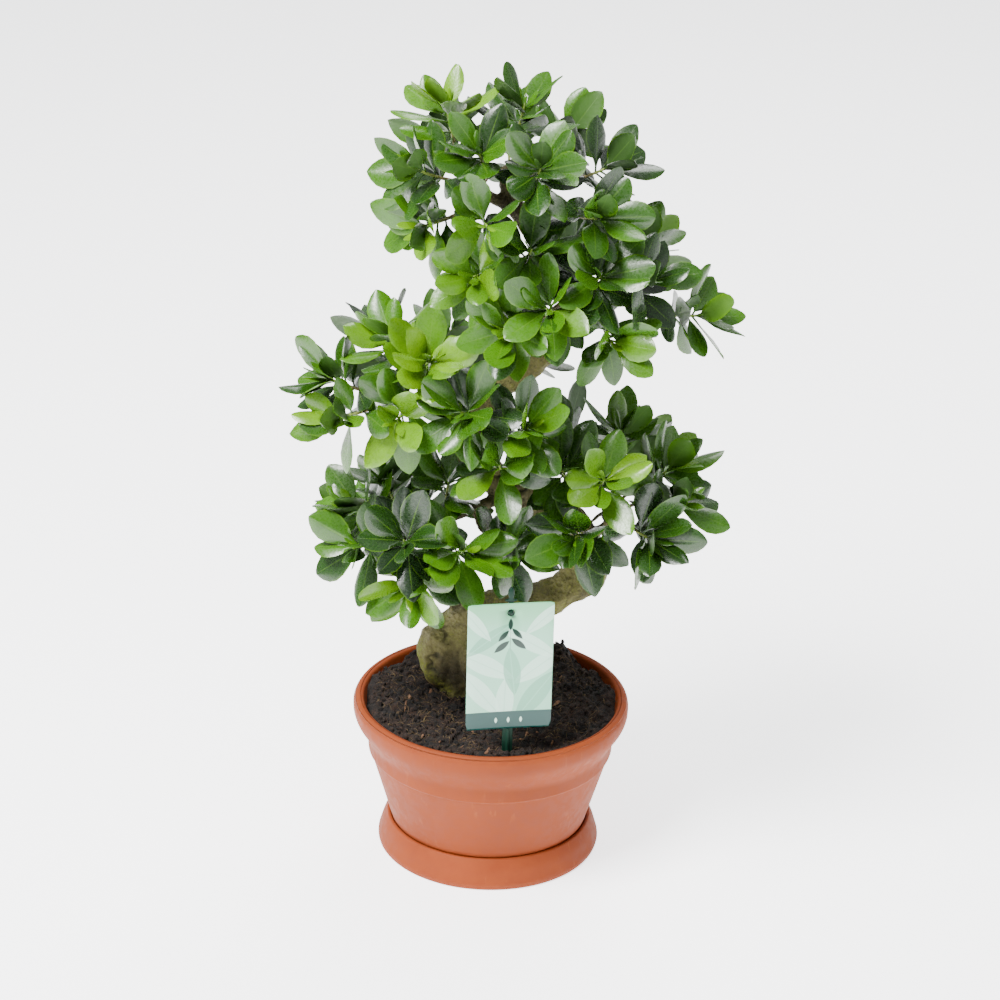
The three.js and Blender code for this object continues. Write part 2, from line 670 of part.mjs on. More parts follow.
// The pose nearest to the wanted one that is clear of the shoot's own leaves and all else.
function settledPose({ curve, count }, share, turn, open, size, ownLeaves, others) {
  const foot = (0.5 * STEM_LENGTH) / (count + 2.5) + LEAF_CLEARANCE;
  for (const shrink of SHRINKS)
    for (const [moreTurn, moreOpen] of NUDGES) {
      const pose = leafPose(curve, share, turn + moreTurn, open + moreOpen, size * shrink);
      const slim = leafRoom(pose, LEAF_CLEARANCE, LEAF_CLEARANCE);
      const full = leafRoom(pose, LEAF_CLEARANCE, foot);
      const blocked = touches(slim, ownLeaves) || touches(full, others);
      slim.delete();
      full.delete();
      if (!blocked) return pose;
    }
  return null;
}

// Poses of a shoot's leaves, two fifths of a turn apart: wide open and large at its foot,
// small and upright at its tip.
function leavesOf(name, shoot, random) {
  const { count, start } = shoot;
  const rise = (start.z - treeFoot) / TREE_HEIGHT;
  const others = [...obstacles].filter(([other]) => other !== name).map(([, entry]) => entry);
  const ownLeaves = [];
  const poses = [];
  for (let i = 0; i < count; i++) {
    const age = 1 - i / (count - 1);
    const share = (i + 1.5) / (count + 2.5);
    const open = 0.55 + 0.75 * age + 0.2 * (random() - 0.5);
    const ripe = 0.74 + 0.3 * Math.sin(Math.PI * (0.25 + 0.6 * age)) + 0.16 * (random() - 0.5);
    const size = ripe * (1.06 - CROWN_SMALLER * rise);
    const turn = TURN_PER_LEAF * i + 0.3 * (random() - 0.5);
    const pose = settledPose(shoot, share, turn, open, size, ownLeaves, others);
    poses.push(pose);
    if (!pose) continue;
    const solid = leafRoom(pose, 0, LEAF_THICKNESS / 2);
    ownLeaves.push({ solid, box: boxOf(solid) });
  }
  return poses;
}

// A stem of five sides with a ring at each end of each leaf's foot and a long pointed bud. A
// leaf grows out of the side that faces it, and a place with no pose stays bare.
function shootBody({ curve, count }, poses) {
  const points = [];
  const triangles = [];
  const ringCount = count + 2;
  const ring = (number, side) => number * STEM_SIDES + (side % STEM_SIDES);
  for (let i = 0; i < ringCount; i++) {
    const share = i / (count + 2.5);
    const stem = curve.getTangentAt(share);
    const radius = STEM_RADIUS * (1 - 0.4 * share);
    for (let k = 0; k < STEM_SIDES; k++) {
      const spoke = stemSide(stem).applyAxisAngle(stem, ((k - 0.5) * 2 * Math.PI) / STEM_SIDES);
      points.push(curve.getPointAt(share).addScaledVector(spoke, radius));
    }
  }
  for (let k = 1; k < STEM_SIDES - 1; k++) triangles.push(0, k + 1, k);
  for (let i = 0; i < ringCount - 1; i++)
    for (let k = 0; k < STEM_SIDES; k++) {
      const corners = [ring(i, k), ring(i, k + 1), ring(i + 1, k + 1), ring(i + 1, k)];
      const pose = (LEAF_SIDE_STEP * (i - 1)) % STEM_SIDES === k ? poses[i - 1] : null;
      if (pose) {
        const first = points.length;
        const edge = leafMargin(pose, 0, 0);
        const middle = pose.base.clone().addScaledVector(pose.along, LEAF_LENGTH * pose.size * 0.55);
        points.push(...edge, middle.addScaledVector(pose.up, -LEAF_THICKNESS));
        const margin = edge.map((_, n) => first + n);
        triangles.push(...leafTriangles(corners, margin, first + edge.length));
      } else {
        const [a, b, c, d] = corners;
        triangles.push(a, b, c, a, c, d);
      }
    }
  const apex = points.length;
  points.push(curve.getPointAt(1));
  const top = ringCount - 1;
  for (let k = 0; k < STEM_SIDES; k++) triangles.push(ring(top, k), ring(top, k + 1), apex);
  return solidFrom(points.flatMap((point) => point.toArray()), triangles);
}

// ---- Assembly -----------------------------------------------------------------------------
const bonsai = new THREE.Group();
const label = new THREE.Group();
const labelBack = -(valueAt(potInside, soilFront - STAKE_DEPTH - potBase) - LABEL_INSET);
label.position.set(LABEL_ACROSS, labelBack, soilFront);
label.rotation.z = LABEL_TURN;
label.updateMatrix();
bonsai.add(label);

const potBody = pot();
const cardBody = card();
const stakeBody = stake();
const cardPlaced = cardBody.transform(label.matrix.elements);
const stakePlaced = stakeBody.transform(label.matrix.elements);
const stemAndRoots = trunk(0);
const trunkRoom = trunk(GAP);
const soilWhole = soil();
const stakeRoom = stakeStrip(GAP).transform(label.matrix.elements);
const soilBody = soilWhole.subtract(trunkRoom).subtract(stakeRoom);

bonsai.add(pieceOf("saucer", saucer(), TERRACOTTA));
bonsai.add(pieceOf("pot", potBody, TERRACOTTA));
bonsai.add(pieceOf("soil", soilBody, PEAT));
label.add(pieceOf("label_card", cardBody, CARD_MINT));
label.add(pieceOf("label_stake", stakeBody, STAKE_GREEN));
const standing = { potBody, soilWhole, stemAndRoots, cardPlaced, stakePlaced };
Object.entries(standing).forEach(([name, solid]) => keepClearOf(name, solid));

// The wood grew as one piece. All of it, and all the stems, stand before the first leaf.
const wood = [stemAndRoots];
const shootsToDress = [];
for (const [pad, plan] of Object.entries(PADS)) {
  const limb = limbWithTwigs(plan);
  keepClearOf(pad, limb);
  wood.push(limb);
  plan.shoots.forEach((row, i) => {
    const name = `shoot_${pad}_${i + 1}`;
    const shoot = shootStem(row);
    keepClearOf(name, shootBody(shoot, []));
    shootsToDress.push([name, shoot]);
  });
}
bonsai.add(pieceOf("trunk", unite(wood), BARK));
shootsToDress.forEach(([name, shoot], i) => {
  const body = shootBody(shoot, leavesOf(name, shoot, randomSource(101 + i)));
  keepClearOf(name, body);
  bonsai.add(pieceOf(name, body, LEAF_GREEN));
});

export default bonsai;
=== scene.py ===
"""A small indoor fig grown as a bonsai, in a bowl pot on its saucer, with a care label.

Metres, +Z up, the origin at the centre of the saucer's flat underside. Each sub-assembly is a
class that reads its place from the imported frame, works out its surfaces and dresses them.
"""

from __future__ import annotations

import logging
import math
from dataclasses import dataclass
from enum import Enum
from typing import Any, Iterable, Sequence

import bpy
import numpy as np
from mathutils import Matrix, Vector


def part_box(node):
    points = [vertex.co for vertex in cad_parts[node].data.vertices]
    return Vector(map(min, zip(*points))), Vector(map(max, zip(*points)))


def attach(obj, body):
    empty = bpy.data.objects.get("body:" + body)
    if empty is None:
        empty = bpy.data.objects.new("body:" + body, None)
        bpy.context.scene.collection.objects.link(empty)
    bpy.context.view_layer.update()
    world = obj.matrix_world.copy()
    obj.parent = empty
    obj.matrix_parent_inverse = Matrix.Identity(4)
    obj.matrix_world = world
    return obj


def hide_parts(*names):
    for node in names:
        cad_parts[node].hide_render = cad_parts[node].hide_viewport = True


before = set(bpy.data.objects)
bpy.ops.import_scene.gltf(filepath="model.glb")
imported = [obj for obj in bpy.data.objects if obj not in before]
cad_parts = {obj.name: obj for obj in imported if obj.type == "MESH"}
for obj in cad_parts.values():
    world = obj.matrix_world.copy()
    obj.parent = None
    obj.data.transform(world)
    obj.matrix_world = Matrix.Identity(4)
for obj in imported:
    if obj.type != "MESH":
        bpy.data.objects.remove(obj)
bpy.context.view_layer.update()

Array = np.ndarray
Colour = tuple[float, float, float, float]
Place = tuple[float, float, float]
Piece = bpy.types.Object
Material = bpy.types.Material
Node = bpy.types.Node
NodeTree = bpy.types.NodeTree
Socket = bpy.types.NodeSocket
LOG = logging.getLogger("bonsai")
MM = 0.001
TURN = 2.0 * math.pi
ROUND = 192  # points round a turned piece
BODY = "root"


class Slot(Enum):
    """The record's material slots, one for each kind of piece."""

    TERRACOTTA = "terracotta_plastic"
    SOIL = "peat_soil"
    BARK = "trunk_bark"
    LEAF = "fig_leaf"
    LABEL = "label_print"
    STAKE = "stake_plastic"


# ---- Numbers and surfaces -----------------------------------------------------------------


def smooth_step(value: Array, low: float, high: float) -> Array:
    """Rises from 0 at low to 1 at high as 3t^2 - 2t^3.

    Args:
        value: The numbers to map.
        low: Where the rise starts.
        high: Where the rise ends.

    Returns:
        The mapped numbers, from 0 to 1.
    """
    share = np.clip((value - low) / (high - low), 0.0, 1.0)
    return share * share * (3.0 - 2.0 * share)


def lumps(points: Array, cell: float, seed: int) -> Array:
    """Smooth noise in space: random values at the corners of cubes, blended by 3t^2 - 2t^3.

    Args:
        points: Places, one row each.
        cell: Size of a cube in metres.
        seed: Picks the random values.

    Returns:
        One number from -1 to 1 for each place.
    """
    size = 4096
    rng = np.random.default_rng(seed)
    values = rng.uniform(-1.0, 1.0, size)
    order = rng.permutation(size)
    scaled = points / cell
    low = np.floor(scaled).astype(np.int64)
    share = scaled - low
    share = share * share * (3.0 - 2.0 * share)
    total = np.zeros(len(points))
    for corner in range(8):
        step = np.array([corner >> 2 & 1, corner >> 1 & 1, corner & 1])
        at = low + step
        index = order[at[:, 0] % size]
        index = order[(index + at[:, 1]) % size]
        index = order[(index + at[:, 2]) % size]
        total += values[index] * np.prod(np.where(step == 1, share, 1.0 - share), axis=1)
    return total


def grid_faces(rows: int, columns: int, closed: bool) -> Array:
    """Four-sided faces between neighbouring points of a grid stored row by row.

    Args:
        rows: Number of rows.
        columns: Number of points in a row.
        closed: Whether the last column joins the first.

    Returns:
        Point numbers, four to a face.
    """
    across = np.arange(columns if closed else columns - 1)
    down = np.arange(rows - 1)[:, None] * columns
    after = (across + 1) % columns
    corners = [down + across, down + after, down + columns + after, down + columns + across]
    return np.stack(corners, axis=-1).reshape(-1, 4)


def fan_faces(ring: Array, apex: int) -> Array:
    """Triangles from each side of a closed ring to one apex."""
    return np.stack([ring, np.roll(ring, -1), np.full_like(ring, apex)], axis=-1)


def tube_faces(rings: int, sides: int) -> list[Array]:
    """Faces of a tube closed by a fan at each end, whose two apexes are numbered last.

    Args:
        rings: Number of rings.
        sides: Points in a ring.

    Returns:
        The wall's faces and the two fans.
    """
    count = rings * sides
    ring = np.arange(sides)
    ends = [fan_faces(ring[::-1], count), fan_faces(ring + count - sides, count + 1)]
    return [grid_faces(rings, sides, True), *ends]


def repeated(groups: Iterable[Array], block: int, count: int) -> list[Array]:
    """The same faces on each of many equal blocks of points.

    Args:
        groups: Faces on the first block.
        block: Points in a block.
        count: Number of blocks.

    Returns:
        The faces on all blocks, in the same groups.
    """
    shift = (np.arange(count) * block)[:, None, None]
    return [(group[None] + shift).reshape(-1, group.shape[1]) for group in groups]


def around(count: int) -> Array:
    """Angles of a number of even steps round a circle."""
    return np.linspace(0.0, TURN, count, endpoint=False)


def unit(rows: Array) -> Array:
    """Rows scaled to a length of 1."""
    return rows / np.linalg.norm(rows, axis=1, keepdims=True)


def summed(index: Array, values: Array, count: int) -> Array:
    """Rows of values added up by their point number.

    Args:
        index: Point number of each row.
        values: The rows.
        count: Number of points.

    Returns:
        One row of sums for each point.
    """
    columns = [np.bincount(index, weights=column, minlength=count) for column in values.T]
    return np.stack(columns, axis=-1)


def soft_profile(corners: Sequence[tuple[float, float, float]], steps: int = 6) -> Array:
    """A polyline of [radius, height] whose corners are rounded.

    A corner with a cut is replaced by the curve (1-t)^2 A + 2t(1-t) P + t^2 B, where A and B lie
    the cut's length before and after the corner P.

    Args:
        corners: Radius, height and cut of each corner, in metres.
        steps: Points on a rounded corner.

    Returns:
        The rounded line, one [radius, height] row for each point.
    """
    places = np.array([corner[:2] for corner in corners])
    line = [places[:1]]
    share = np.linspace(0.0, 1.0, steps)[:, None]
    for before, (radius, height, cut), after in zip(places, corners[1:-1], places[2:]):
        corner = np.array([radius, height])
        if cut <= 0.0:
            line.append(corner[None])
            continue
        first = corner + (before - corner) * cut / np.linalg.norm(before - corner)
        last = corner + (after - corner) * cut / np.linalg.norm(after - corner)
        line.append((1 - share) ** 2 * first + 2 * share * (1 - share) * corner + share**2 * last)
    line.append(places[-1:])
    return np.concatenate(line)


def signed_volume(points: Array, faces: Iterable[Array]) -> float:
    """Volume inside closed faces: the sum of a . (b x c) / 6 over their triangles.

    Args:
        points: Places, one row each.
        faces: Arrays of point numbers, one row for each face.

    Returns:
        The volume, negative when the faces look inwards.
    """
    total = 0.0
    for group in faces:
        for k in range(1, group.shape[1] - 1):
            a, b, c = (points[group[:, i]] for i in (0, k, k + 1))
            total += float(np.einsum("ij,ij->", a, np.cross(b, c))) / 6.0
    return total


@dataclass
class Surface:
    """Points and faces of one piece, with what its materials read.

    Attributes:
        points: Places, one row each.
        faces: Arrays of point numbers, each with faces of one number of sides.
        marks: Named numbers at each point.
        sheet: Place of each point on the piece's own flat map, from 0 to 1.
        sharp: Points between which edges stay sharp.
        second: For each face array, whether it wears the second material.
    """

    points: Array
    faces: list[Array]
    marks: dict[str, Array] | None = None
    sheet: Array | None = None
    sharp: Array | None = None
    second: list[bool] | None = None

    def piece(self, name: str, materials: Sequence[Material]) -> Piece:
        """Makes the Blender object, turned outwards.

        Args:
            name: The piece's name.
            materials: Its material, and a second one where some faces wear it.

        Returns:
            The new object, at the origin.
        """
        faces = self.faces
        if signed_volume(self.points, faces) < 0.0:
            faces = [group[:, ::-1] for group in faces]
        corners = np.concatenate([group.ravel() for group in faces])
        sides = np.concatenate([np.full(len(group), group.shape[1]) for group in faces])
        mesh = bpy.data.meshes.new(name)
        mesh.vertices.add(len(self.points))
        mesh.vertices.foreach_set("co", self.points.astype(np.float32).ravel())
        mesh.loops.add(len(corners))
        mesh.loops.foreach_set("vertex_index", corners.astype(np.int32))
        mesh.polygons.add(len(sides))
        starts = np.concatenate([[0], np.cumsum(sides)[:-1]])
        mesh.polygons.foreach_set("loop_start", starts.astype(np.int32))
        mesh.polygons.foreach_set("use_smooth", np.ones(len(sides), bool))
        for material in materials:
            mesh.materials.append(material)
        if self.second is not None:
            wears = [np.full(len(g), int(flag)) for g, flag in zip(faces, self.second)]
            mesh.polygons.foreach_set("material_index", np.concatenate(wears).astype(np.int32))
        mesh.update(calc_edges=True)
        if self.sheet is not None:
            layer = mesh.uv_layers.new(name="Sheet")
            layer.uv.foreach_set("vector", self.sheet[corners].astype(np.float32).ravel())
        for label, values in (self.marks or {}).items():
            mark = mesh.attributes.new(label, "FLOAT", "POINT")
            mark.data.foreach_set("value", values.astype(np.float32))
        if self.sharp is not None:
            ends = np.empty(2 * len(mesh.edges), np.int32)
            mesh.edges.foreach_get("vertices", ends)
            both = self.sharp[ends.reshape(-1, 2)].all(axis=1)
            mesh.attributes.new("sharp_edge", "BOOLEAN", "EDGE").data.foreach_set("value", both)
        piece = bpy.data.objects.new(name, mesh)
        bpy.context.scene.collection.objects.link(piece)
        return piece


def place(piece: Piece, slot: Slot, *nodes: str) -> Piece:
    """Ties a piece to the frame and stands it in for CAD nodes.

    Args:
        piece: The finished piece.
        slot: The record's slot for the piece; not used.
        nodes: CAD nodes that it stands for.

    Returns:
        The same piece.
    """
    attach(piece, BODY)
    if nodes:
        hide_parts(*nodes)
    LOG.info("%s: %d faces", piece.name, len(piece.data.polygons))
    return piece


def cad_mesh(node: str) -> tuple[Array, Array]:
    """The merged points and the triangles of a CAD node.

    Args:
        node: The node's name.

    Returns:
        Points, one row each, and point numbers, three to a triangle.
    """
    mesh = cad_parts[node].data
    flat = np.empty(3 * len(mesh.vertices), np.float32)
    mesh.vertices.foreach_get("co", flat)
    mesh.calc_loop_triangles()
    corners = np.empty(3 * len(mesh.loop_triangles), np.int32)
    mesh.loop_triangles.foreach_get("vertices", corners)
    keys = np.round(flat.reshape(-1, 3).astype(float), 6)
    points, same = np.unique(keys, axis=0, return_inverse=True)
    return points, same.ravel()[corners].reshape(-1, 3)


def turned(profile: Array, segments: int, wobble: float, seed: int) -> Surface:
    """A profile turned round the upright axis: x = r cos a, y = r sin a, z = height.

    The profile starts and ends on the axis. Its radius wavers by smooth noise, as a moulding
    does when it cools.

    Args:
        profile: [radius, height] rows, both ends on the axis.
        segments: Points in a turn.
        wobble: Largest change of radius.
        seed: Picks the noise.

    Returns:
        The closed surface.
    """
    angle = around(segments)
    radius, height = profile[1:-1, :1], profile[1:-1, 1:]
    ones = np.ones_like(angle)
    rings = np.stack([radius * np.cos(angle), radius * np.sin(angle), height * ones], axis=-1)
    flat = rings.reshape(-1, 3)
    change = wobble * lumps(flat, 30 * MM, seed) / np.maximum(np.hypot(flat[:, 0], flat[:, 1]), MM)
    flat = flat * np.stack([1 + change, 1 + change, np.ones(len(flat))], axis=-1)
    poles = np.array([[0.0, 0.0, profile[0, 1]], [0.0, 0.0, profile[-1, 1]]])
    return Surface(np.concatenate([flat, poles]), tube_faces(len(radius), segments))


def neighbour_mean(values: Array, edges: Array) -> Array:
    """The mean of each point's neighbours along edges.

    Args:
        values: One row for each point.
        edges: Pairs of point numbers.

    Returns:
        The mean of the neighbours' rows, for each point.
    """
    ends = np.concatenate([edges, edges[:, ::-1]])
    count = np.maximum(np.bincount(ends[:, 0], minlength=len(values)), 1)
    return summed(ends[:, 0], values[ends[:, 1]], len(values)) / count[:, None]


def even_copy(node: str, voxel: float, rounds: int) -> tuple[Array, Array, Array]:
    """A copy of a CAD node's shape with even small faces, its facets smoothed away.

    Each round of smoothing moves every point half of the way to the mean of its neighbours, and
    then half of the way back by the same rule, which keeps the girth.

    Args:
        node: The CAD node.
        voxel: Size of the faces.
        rounds: Rounds of smoothing.

    Returns:
        Points, four-sided faces and edges.
    """
    points, triangles = cad_mesh(node)
    mesh = bpy.data.meshes.new("even_" + node)
    mesh.from_pydata(points.tolist(), [], triangles.tolist())
    rough = bpy.data.objects.new("even_" + node, mesh)
    bpy.context.scene.collection.objects.link(rough)
    remesh = rough.modifiers.new("even", "REMESH")
    remesh.mode = "VOXEL"
    remesh.voxel_size = voxel
    graph = bpy.context.evaluated_depsgraph_get()
    even = rough.evaluated_get(graph).to_mesh()
    flat = np.empty(3 * len(even.vertices), np.float32)
    even.vertices.foreach_get("co", flat)
    corners = np.empty(len(even.loops), np.int32)
    even.loops.foreach_get("vertex_index", corners)
    ends = np.empty(2 * len(even.edges), np.int32)
    even.edges.foreach_get("vertices", ends)
    places = flat.reshape(-1, 3).astype(float)
    edges = ends.reshape(-1, 2).copy()
    quads = corners.reshape(-1, 4).copy()
    bpy.data.objects.remove(rough)
    bpy.data.meshes.remove(mesh)
    for _ in range(rounds):
        places += 0.5 * (neighbour_mean(places, edges) - places)
        places -= 0.48 * (neighbour_mean(places, edges) - places)
    return places, quads, edges


def normals_of(points: Array, quads: Array) -> Array:
    """Outward unit vectors at the points: the mean of the faces' area vectors round each.

    A face's area vector is the cross product of its diagonals.

    Args:
        points: Places, one row each.
        quads: Four-sided faces.

    Returns:
        One unit vector for each point.
    """
    a, b, c, d = (points[quads[:, corner]] for corner in range(4))
    area = np.cross(c - a, d - b)
    total = summed(quads.ravel(), np.repeat(area, 4, axis=0), len(points))
    return total / np.maximum(np.linalg.norm(total, axis=1, keepdims=True), 1e-12)


# ---- Finishes -----------------------------------------------------------------------------


def rgb(red: int, green: int, blue: int) -> Colour:
    """A display colour, 0 to 255, as the linear colour that shaders take.

    Args:
        red: Red channel.
        green: Green channel.
        blue: Blue channel.

    Returns:
        The colour with an alpha of 1.
    """

    def linear(value: float) -> float:
        """One channel, by the display curve."""
        share = value / 255.0
        return share / 12.92 if share <= 0.04045 else ((share + 0.055) / 1.055) ** 2.4

    return linear(red), linear(green), linear(blue), 1.0


class Board:
    """A node tree with short calls for the nodes that the finishes use."""

    def __init__(self, tree: NodeTree) -> None:
        """Takes the tree to work on."""
        self.tree = tree

    def add(self, kind: str, inputs: dict[Any, Any] | None = None, **settings: Any) -> Node:
        """Adds a node.

        Args:
            kind: Blender's name of the node type.
            inputs: Values or sockets by input name or number.
            settings: The node's own options.

        Returns:
            The node.
        """
        node = self.tree.nodes.new(kind)
        for key, value in settings.items():
            setattr(node, key, value)
        for key, value in (inputs or {}).items():
            if isinstance(value, Socket):
                self.tree.links.new(value, node.inputs[key])
            else:
                node.inputs[key].default_value = value
        return node

    def math(self, operation: str, *values: Any) -> Socket:
        """One sum, by Blender's name of the operation, clear of its other settings."""
        return self.add("ShaderNodeMath", dict(enumerate(values)), operation=operation).outputs[0]

    def times(self, first: Any, second: Any) -> Socket:
        """The product of two values."""
        return self.math("MULTIPLY", first, second)

    def plus(self, first: Any, second: Any) -> Socket:
        """The sum of two values."""
        return self.math("ADD", first, second)

    def less(self, first: Any, second: Any) -> Socket:
        """The first value less the second."""
        return self.math("SUBTRACT", first, second)

    def mix(self, share: Any, low: Any, high: Any) -> Socket:
        """Mixes two colours.

        Args:
            share: 0 for low, 1 for high.
            low: First colour.
            high: Second colour.

        Returns:
            The mixed colour.
        """
        inputs = {0: share, 6: low, 7: high}
        return self.add("ShaderNodeMix", inputs, data_type="RGBA").outputs[2]

    def noise(self, where: Any, scale: Any, detail: float, rough: float = 0.55) -> Socket:
        """Cloudy noise from 0 to 1 at a number of cells to the metre."""
        inputs = {"Vector": where, "Scale": scale, "Detail": detail, "Roughness": rough}
        return self.add("ShaderNodeTexNoise", inputs).outputs["Fac"]

    def remap(
        self, value: Any, low: Any, high: Any, to_low: float = 0.0, to_high: float = 1.0
    ) -> Socket:
        """Maps low to high onto to_low to to_high with a soft start and end, and stops there."""
        inputs = {0: value, 1: low, 2: high, 3: to_low, 4: to_high}
        return self.add("ShaderNodeMapRange", inputs, interpolation_type="SMOOTHSTEP").outputs[0]

    def mark(self, label: str) -> Socket:
        """Reads one of the piece's own marks."""
        return self.add("ShaderNodeAttribute", attribute_name=label).outputs["Fac"]

    def place(self) -> Socket:
        """Object coordinates."""
        return self.add("ShaderNodeTexCoord").outputs["Object"]

    def apart(self, where: Any) -> Any:
        """Splits a place into its X, Y and Z outputs."""
        return self.add("ShaderNodeSeparateXYZ", {0: where}).outputs

    def stretch(self, where: Any, scale: tuple[float, float, float]) -> Socket:
        """Scales a place along each axis."""
        return self.add("ShaderNodeMapping", {"Vector": where, "Scale": scale}).outputs[0]

    def bump(self, height: Any, distance: float, strength: float, normal: Any = None) -> Socket:
        """A normal raised by a height.

        Args:
            height: The height, where 1 stands for the distance.
            distance: Real height of 1, in metres.
            strength: Share of the effect.
            normal: A normal to start from.

        Returns:
            The new normal.
        """
        inputs = {"Height": height, "Distance": distance, "Strength": strength}
        if normal is not None:
            inputs["Normal"] = normal
        return self.add("ShaderNodeBump", inputs).outputs[0]


class GroupName(Enum):
    """Shared effects, each a node group."""

    MOTTLE = "mottle"
    SCUFF = "scuff"
    LEAF_SHAPE = "leaf_shape"


def group_tree(
    name: GroupName, inputs: dict[str, tuple[str, Any]], outputs: dict[str, str]
) -> tuple[Board, Any, Any]:
    """Starts a node group with named sockets.

    Args:
        name: The group.
        inputs: Socket type and value by input name.
        outputs: Socket type by output name.

    Returns:
        The group's board, its input node's outputs, and its output node's inputs.
    """
    tree = bpy.data.node_groups.new(name.value, "ShaderNodeTree")
    for label, (kind, value) in inputs.items():
        socket = tree.interface.new_socket(name=label, in_out="INPUT", socket_type=kind)
        if value is not None:
            socket.default_value = value
    for label, kind in outputs.items():
        tree.interface.new_socket(name=label, in_out="OUTPUT", socket_type=kind)
    board = Board(tree)
    return board, board.add("NodeGroupInput").outputs, board.add("NodeGroupOutput").inputs


def build_mottle() -> NodeTree:
    """Clouds at two sizes, as uneven pigment, damp or growth leaves them.

    Returns:
        A group: Vector and Scale in, Cloud and Grain out, each from 0 to 1.
    """
    kinds = {"Vector": ("NodeSocketVector", None), "Scale": ("NodeSocketFloat", 20.0)}
    board, given, out = group_tree(
        GroupName.MOTTLE, kinds, {"Cloud": "NodeSocketFloat", "Grain": "NodeSocketFloat"}
    )
    cloud = board.noise(given["Vector"], given["Scale"], 5.0, 0.6)
    fine = board.times(given["Scale"], 9.0)
    grain = board.noise(given["Vector"], fine, 3.0, 0.65)
    board.tree.links.new(board.remap(cloud, 0.32, 0.68), out["Cloud"])
    board.tree.links.new(board.remap(grain, 0.3, 0.7), out["Grain"])
    return board.tree


def build_scuff() -> NodeTree:
    """Fine upright rubs, thin across and long upwards, that come in patches.

    Returns:
        A group: Vector and Scale in, Mask out, 1 on a rub.
    """
    kinds = {"Vector": ("NodeSocketVector", None), "Scale": ("NodeSocketFloat", 60.0)}
    board, given, out = group_tree(GroupName.SCUFF, kinds, {"Mask": "NodeSocketFloat"})
    thin = board.stretch(given["Vector"], (1.0, 1.0, 0.12))
    rubs = board.noise(thin, board.times(given["Scale"], 3.0), 2.0, 0.5)
    patches = board.noise(given["Vector"], board.times(given["Scale"], 0.3), 2.0, 0.5)
    mask = board.times(board.remap(rubs, 0.6, 0.72), board.remap(patches, 0.48, 0.62))
    board.tree.links.new(mask, out["Mask"])
    return board.tree


def build_leaf_shape() -> NodeTree:
    """A printed leaf: the lens |y| < width (1 - x^2), turned and moved on the card's own map.

    Returns:
        A group: Vector, Middle, Turn, Half Length and Half Width in, Mask and Rib out.
    """
    kinds = {
        "Vector": ("NodeSocketVector", None),
        "Middle": ("NodeSocketVector", (0.5, 0.5, 0.0)),
        "Turn": ("NodeSocketFloat", 0.0),
        "Half Length": ("NodeSocketFloat", 0.3),
        "Half Width": ("NodeSocketFloat", 0.1),
    }
    sockets = {"Mask": "NodeSocketFloat", "Rib": "NodeSocketFloat"}
    board, given, out = group_tree(GroupName.LEAF_SHAPE, kinds, sockets)
    moved = board.add(
        "ShaderNodeVectorMath", {0: given["Vector"], 1: given["Middle"]}, operation="SUBTRACT"
    ).outputs[0]
    turn = board.add(
        "ShaderNodeVectorRotate",
        {"Vector": moved, "Angle": given["Turn"]},
        rotation_type="Z_AXIS",
    ).outputs[0]
    x, y, _ = board.apart(turn)
    share = board.math("DIVIDE", x, given["Half Length"])
    square = board.times(share, share)
    edge = board.times(given["Half Width"], board.less(1.0, square))
    over = board.less(edge, board.math("ABSOLUTE", y))
    mask = board.remap(over, 0.0, 0.006)
    rib = board.times(mask, board.remap(board.math("ABSOLUTE", y), 0.002, 0.006, 1.0, 0.0))
    board.tree.links.new(mask, out["Mask"])
    board.tree.links.new(rib, out["Rib"])
    return board.tree


class Workshop:
    """Holds the shared groups, built once, and starts materials."""

    def __init__(self) -> None:
        """Builds the shared groups."""
        self.groups = {
            GroupName.MOTTLE: build_mottle(),
            GroupName.SCUFF: build_scuff(),
            GroupName.LEAF_SHAPE: build_leaf_shape(),
        }

    def material(self, name: str) -> tuple[Material, Board, Node]:
        """Starts a material.

        Args:
            name: Its name.

        Returns:
            The material, the board of its tree, and its Principled shader.
        """
        material = bpy.data.materials.new(name)
        material.use_nodes = True
        return material, Board(material.node_tree), material.node_tree.nodes["Principled BSDF"]

    def effect(self, board: Board, name: GroupName, inputs: dict[str, Any]) -> Any:
        """Places a shared group on a board.

        Args:
            board: The material's board.
            name: The group.
            inputs: Values or sockets by name.

        Returns:
            The group's outputs.
        """
        return board.add("ShaderNodeGroup", inputs, node_tree=self.groups[name]).outputs


def wire(board: Board, shader: Node, links: dict[str, Socket], **plain: Any) -> None:
    """Feeds a shader.

    Args:
        board: The material's board.
        shader: Its Principled shader.
        links: Sockets by input name.
        plain: Numbers by input name, with spaces as underscores.
    """
    for key, socket in links.items():
        board.tree.links.new(socket, shader.inputs[key])
    for key, value in plain.items():
        shader.inputs[key.replace("_", " ")].default_value = value


